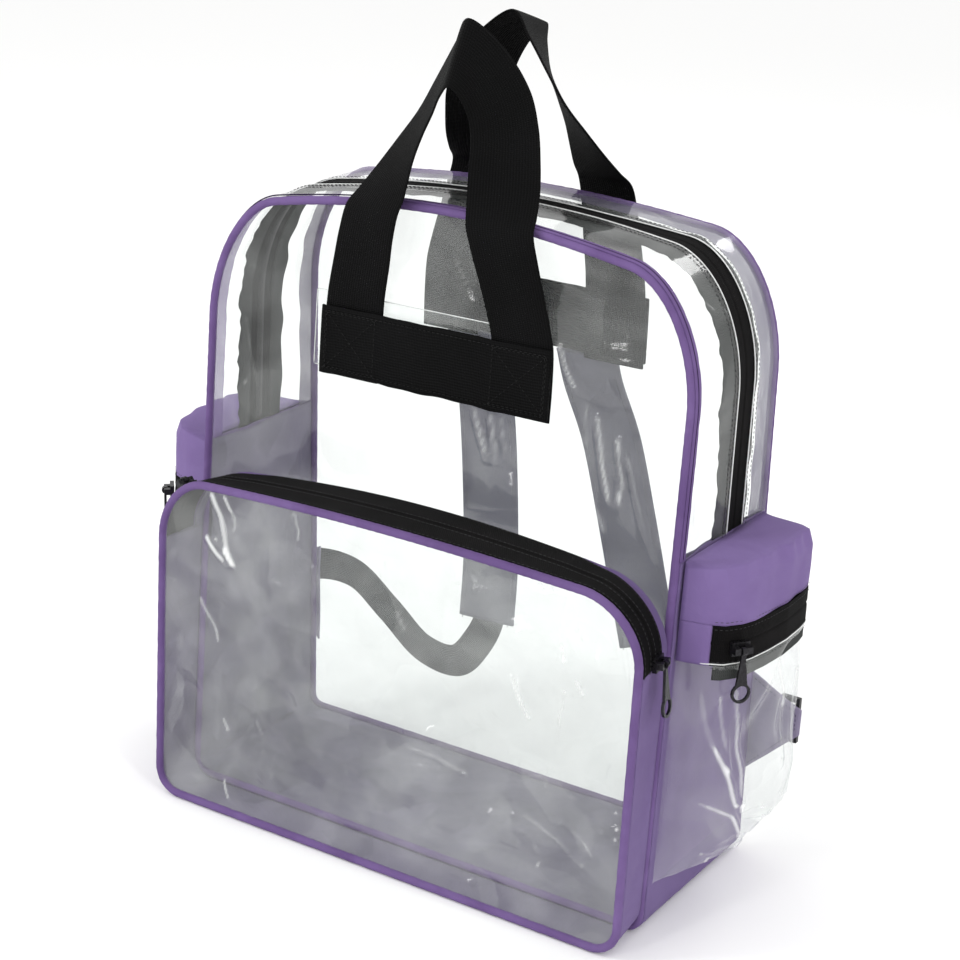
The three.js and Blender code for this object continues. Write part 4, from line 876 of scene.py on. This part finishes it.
webbing = webbing_look("black_webbing", (0.001, 0.001, 0.001), (0.0045, 0.0045, 0.0048))
web_half, leg_spread, band_half, band_deep = 20, 58, 78, 40
legs = (  # up the rise, spread from the middle, lean to the other loop, turn about upright, tip
    (-0.27, 1, 0, 0, 0), (-0.14, 1, 0, 0, 0), (0, 0.98, 0, 0, 0), (0.07, 0.95, -0.04, 1, 0),
    (0.2, 0.87, -0.12, 3, 0), (0.31, 0.8, -0.2, 6, 0), (0.41, 0.73, -0.2, 9, 0), (0.46, 0.69, 0, 17, 0.02),
    (0.53, 0.64, 0.24, 29, 0.05), (0.62, 0.57, 0.5, 42, 0.1), (0.72, 0.48, 0.79, 53, 0.18),
    (0.82, 0.37, 0.93, 60, 0.35), (0.93, 0.19, 0.82, 74, 0.68), (1, 0, 0.55, 90, 1),
)
for name, face, towards, top, height, reach, peak in (
    ("front", lambda z: front_at(z) + 2.0, 1, front_band_top, 151, 25, 62),
    ("back", lambda z: back_at(z) - 2.0, -1, back_band_top, 156, 30, 16),
):
    edges = []
    for out in (1, -1):
        rows = []
        for side, table in ((1, legs), (-1, legs[-2::-1])):
            for rising, spread, lean, turned, tip in table:
                height_at = top + rising * height
                y = face(min(height_at, top)) - towards * 1.3 + towards * lean * reach
                spin, lifted = np.radians(turned), np.radians(tip * peak)
                flat = out * web_half * np.cos(lifted)
                rows.append((side * (leg_spread * spread + flat * np.cos(spin)),
                             y + towards * flat * np.sin(spin), height_at + out * web_half * np.sin(lifted)))
        edges.append(smooth(rows))
    ribbon(name + "_loop", edges[0], edges[1], 1.9, webbing, "black_webbing", name + "_handle")
    bx = np.linspace(-band_half, band_half, 80)
    hang = 0.35 * np.sin(bx / 9) + 0.25 * np.sin(bx / 3.7)
    run = lambda at, wave: np.stack([bx, np.full(80, face(at) - towards * 3.6), at + wave * hang], 1)
    ribbon(name + "_band", run(top, 0.6), run(top - band_deep, 1), 1.9, webbing, "black_webbing",
           name + "_handle_band")
    low, high, boxes, sewn = top - 36, top - 4, ((40, 74), (-74, -40)), []
    for bottom, ceiling, left, far in ((top - 37, top - 3, -75, 75), *((low, high, *box) for box in boxes)):
        sewn.append([(left, bottom), (far, bottom), (far, ceiling), (left, ceiling), (left, bottom)])
    for left, far in boxes:
        sewn += [[(left, low), (far, high)], [(left, high), (far, low)]]
    sewn = [[(cx, face(cz) - towards * 4.62, cz) for cx, cz in line] for line in sewn]
    black_thread = plain_look("black_thread_" + name, (0.012, 0.012, 0.012), 0.6, 0.15)
    thread(name + "_band_stitches", sewn, black_thread, "black_webbing", radius=0.22, dash=2.1, pitch=3.0)


# Reinforcement: a clear vinyl patch sewn behind the front band, a little wider than it.
patch_left, patch_right, patch_low, patch_high = -86, 70, 285, 330
patch_x, patch_z = np.meshgrid(np.linspace(patch_left, patch_right, 30),
                               np.linspace(patch_low, patch_high, 12), indexing="ij")
skin("band_patch", np.stack([patch_x, front_at(patch_z) + 3.4, patch_z], 2), film, "clear_film")
corners = [(patch_left, patch_low), (patch_right, patch_low), (patch_right, patch_high),
           (patch_left, patch_high), (patch_left, patch_low)]
thread("band_patch_edge", [[(cx, front_at(cz) + 3.3, cz) for cx, cz in corners]], white_rim, "clear_film",
       radius=0.3)


# Shoulder straps: thin padded cloth, the lower ends tapering into 22 mm webbing that hangs in a loop and
# ends at a ladder adjuster on a folded purple tab, sewn into the back seam at each lower corner.
strap_cloth = cloth("strap_cloth", (0.165, 0.155, 0.205), (0.105, 0.097, 0.14), crease=0.3)
grey_web = webbing_look("strap_webbing", (0.016, 0.019, 0.018), (0.045, 0.052, 0.049), rib=0.0012)
tab_cloth = cloth("tab_cloth", (0.40, 0.36, 0.48), (0.29, 0.25, 0.37))
strap_thread = plain_look("strap_thread", (0.12, 0.11, 0.15), 0.7, 0.1)
routes = {  # rows of out from the middle, off the back and up: the padded strap, then its webbing
    "right": (((0.22, 0.09, 1), (0.23, 0.3, 0.93), (0.27, 0.75, 0.8), (0.33, 1, 0.62), (0.41, 0.95, 0.46),
               (0.48, 0.8, 0.35)),
              ((0.52, 0.72, 0.28), (0.58, 0.62, 0.23), (0.72, 0.42, 0.2), (0.9, 0.28, 0.24),
               (1.08, 0.1, 0.3), (1.13, 0.1, 0.32))),
    "left": (((0.26, 0.08, 1), (0.26, 0.28, 0.93), (0.28, 0.75, 0.8), (0.28, 1, 0.6), (0.26, 0.95, 0.42),
              (0.25, 0.8, 0.3)),
             ((0.29, 0.72, 0.24), (0.38, 0.66, 0.18), (0.53, 0.58, 0.19), (0.69, 0.44, 0.27),
              (0.85, 0.34, 0.34), (1, 0.18, 0.35), (1.13, 0.1, 0.32))),
}
strap_top, strap_stand, strap_half, strap_thick, lower_half = 290.7, 32, 21, 2.6, 11
tab_root, tab_tip, tab_low, tab_high, tab_tip_low, tab_tip_high = 160, 196, 50, 118, 84.16, 100.16


def squares(line):
    """Unit vectors across a strap that hangs along this run, level with the panel behind it."""
    ahead = np.gradient(line, axis=0)
    return unit(np.stack([ahead[:, 2], 0 * ahead[:, 0], -ahead[:, 0]], 1))


for sign, hand in ((1, "right"), (-1, "left")):
    strap, lower = ([(sign * out * body_width / 2, back_foot + off * strap_stand, rise * strap_top)
                     for out, off, rise in rows] for rows in routes[hand])
    line = smooth(strap)
    square = squares(line)
    pad = ribbon("padded_strap_" + hand, line + square * strap_half, line - square * strap_half, strap_thick,
                 strap_cloth, "strap_cloth", "shoulder_strap_" + hand, across=18, crown=0.7)
    sewn = [line + square * side * 17.5 + [0, lift, 0] for side in (-1, 1) for lift in (-1.9, 1.9)]
    thread("strap_stitches_" + hand, sewn, strap_thread, "strap_cloth", radius=0.25, dash=2.0, pitch=3.0)
    line = smooth([line[-9], line[-5], line[-1], *lower]) + [0, 3.4, 0]
    square = squares(line)
    ribbon("adjusting_web_" + hand, line + square * lower_half, line - square * lower_half, 1.5, grey_web,
           "black_webbing", "strap_webbing_" + hand)
    tab = []
    for part in np.linspace(0, 1, 20):
        low, high = tab_low + (tab_tip_low - tab_low) * part, tab_high + (tab_tip_high - tab_high) * part
        out = sign * (tab_root + (tab_tip - tab_root) * part)
        tab.append([(out, back_foot + 1.1 + 0.4 * np.sin(part * 9 + t / 9), t)
                    for t in np.linspace(low, high, 26)])
    skin("corner_tab_" + hand, tab, tab_cloth, "purple_cloth", "strap_tab_" + hand, thickness=1.3)
    hem = [(sign * (tab_root + 3), 64.2, tab_low + 5), (sign * (tab_tip - 3), 64.2, 86),
           (sign * (tab_tip - 3), 64.2, 98), (sign * (tab_root + 3), 64.2, tab_high - 4)]
    thread("tab_stitches_" + hand, [hem], seam_shadow_and_tab_thread, "purple_cloth", radius=0.2, dash=1.9)


# Hardware: die-cast zip sliders and pulls in black enamel, and moulded adjusters, their edges just broken.
enamel = plain_look("black_enamel", (0.02, 0.019, 0.022), 0.3, 0.5, metal=0.7)
plastic = plain_look("black_plastic", (0.012, 0.012, 0.0125), 0.45, 0.4)
for name, node in list(frame["nodes"].items()):
    if not any(word in name for word in ("slider", "pull", "adjuster")):
        continue
    shape = bmesh.new()
    shape.from_mesh(node.data)
    bmesh.ops.remove_doubles(shape, verts=shape.verts, dist=1e-6)
    bmesh.ops.dissolve_limit(shape, angle_limit=0.02, verts=shape.verts, edges=shape.edges)
    mesh = bpy.data.meshes.new(name + "_finished")
    shape.to_mesh(mesh)
    shape.free()
    mesh.materials.append(plastic if "adjuster" in name else enamel)
    piece = put(name + "_finished", mesh)
    soften = piece.modifiers.new("broken edges", "BEVEL")
    soften.width, soften.segments, soften.angle_limit = 0.00025, 2, 0.6
    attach(piece, name if name in frame["bodies"] else "bag")
    "black_plastic" if "adjuster" in name else "zip_hardware"
    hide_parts(name)

seen_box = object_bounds()
[list(corner) for corner in cad_box]
[list(corner) for corner in seen_box]
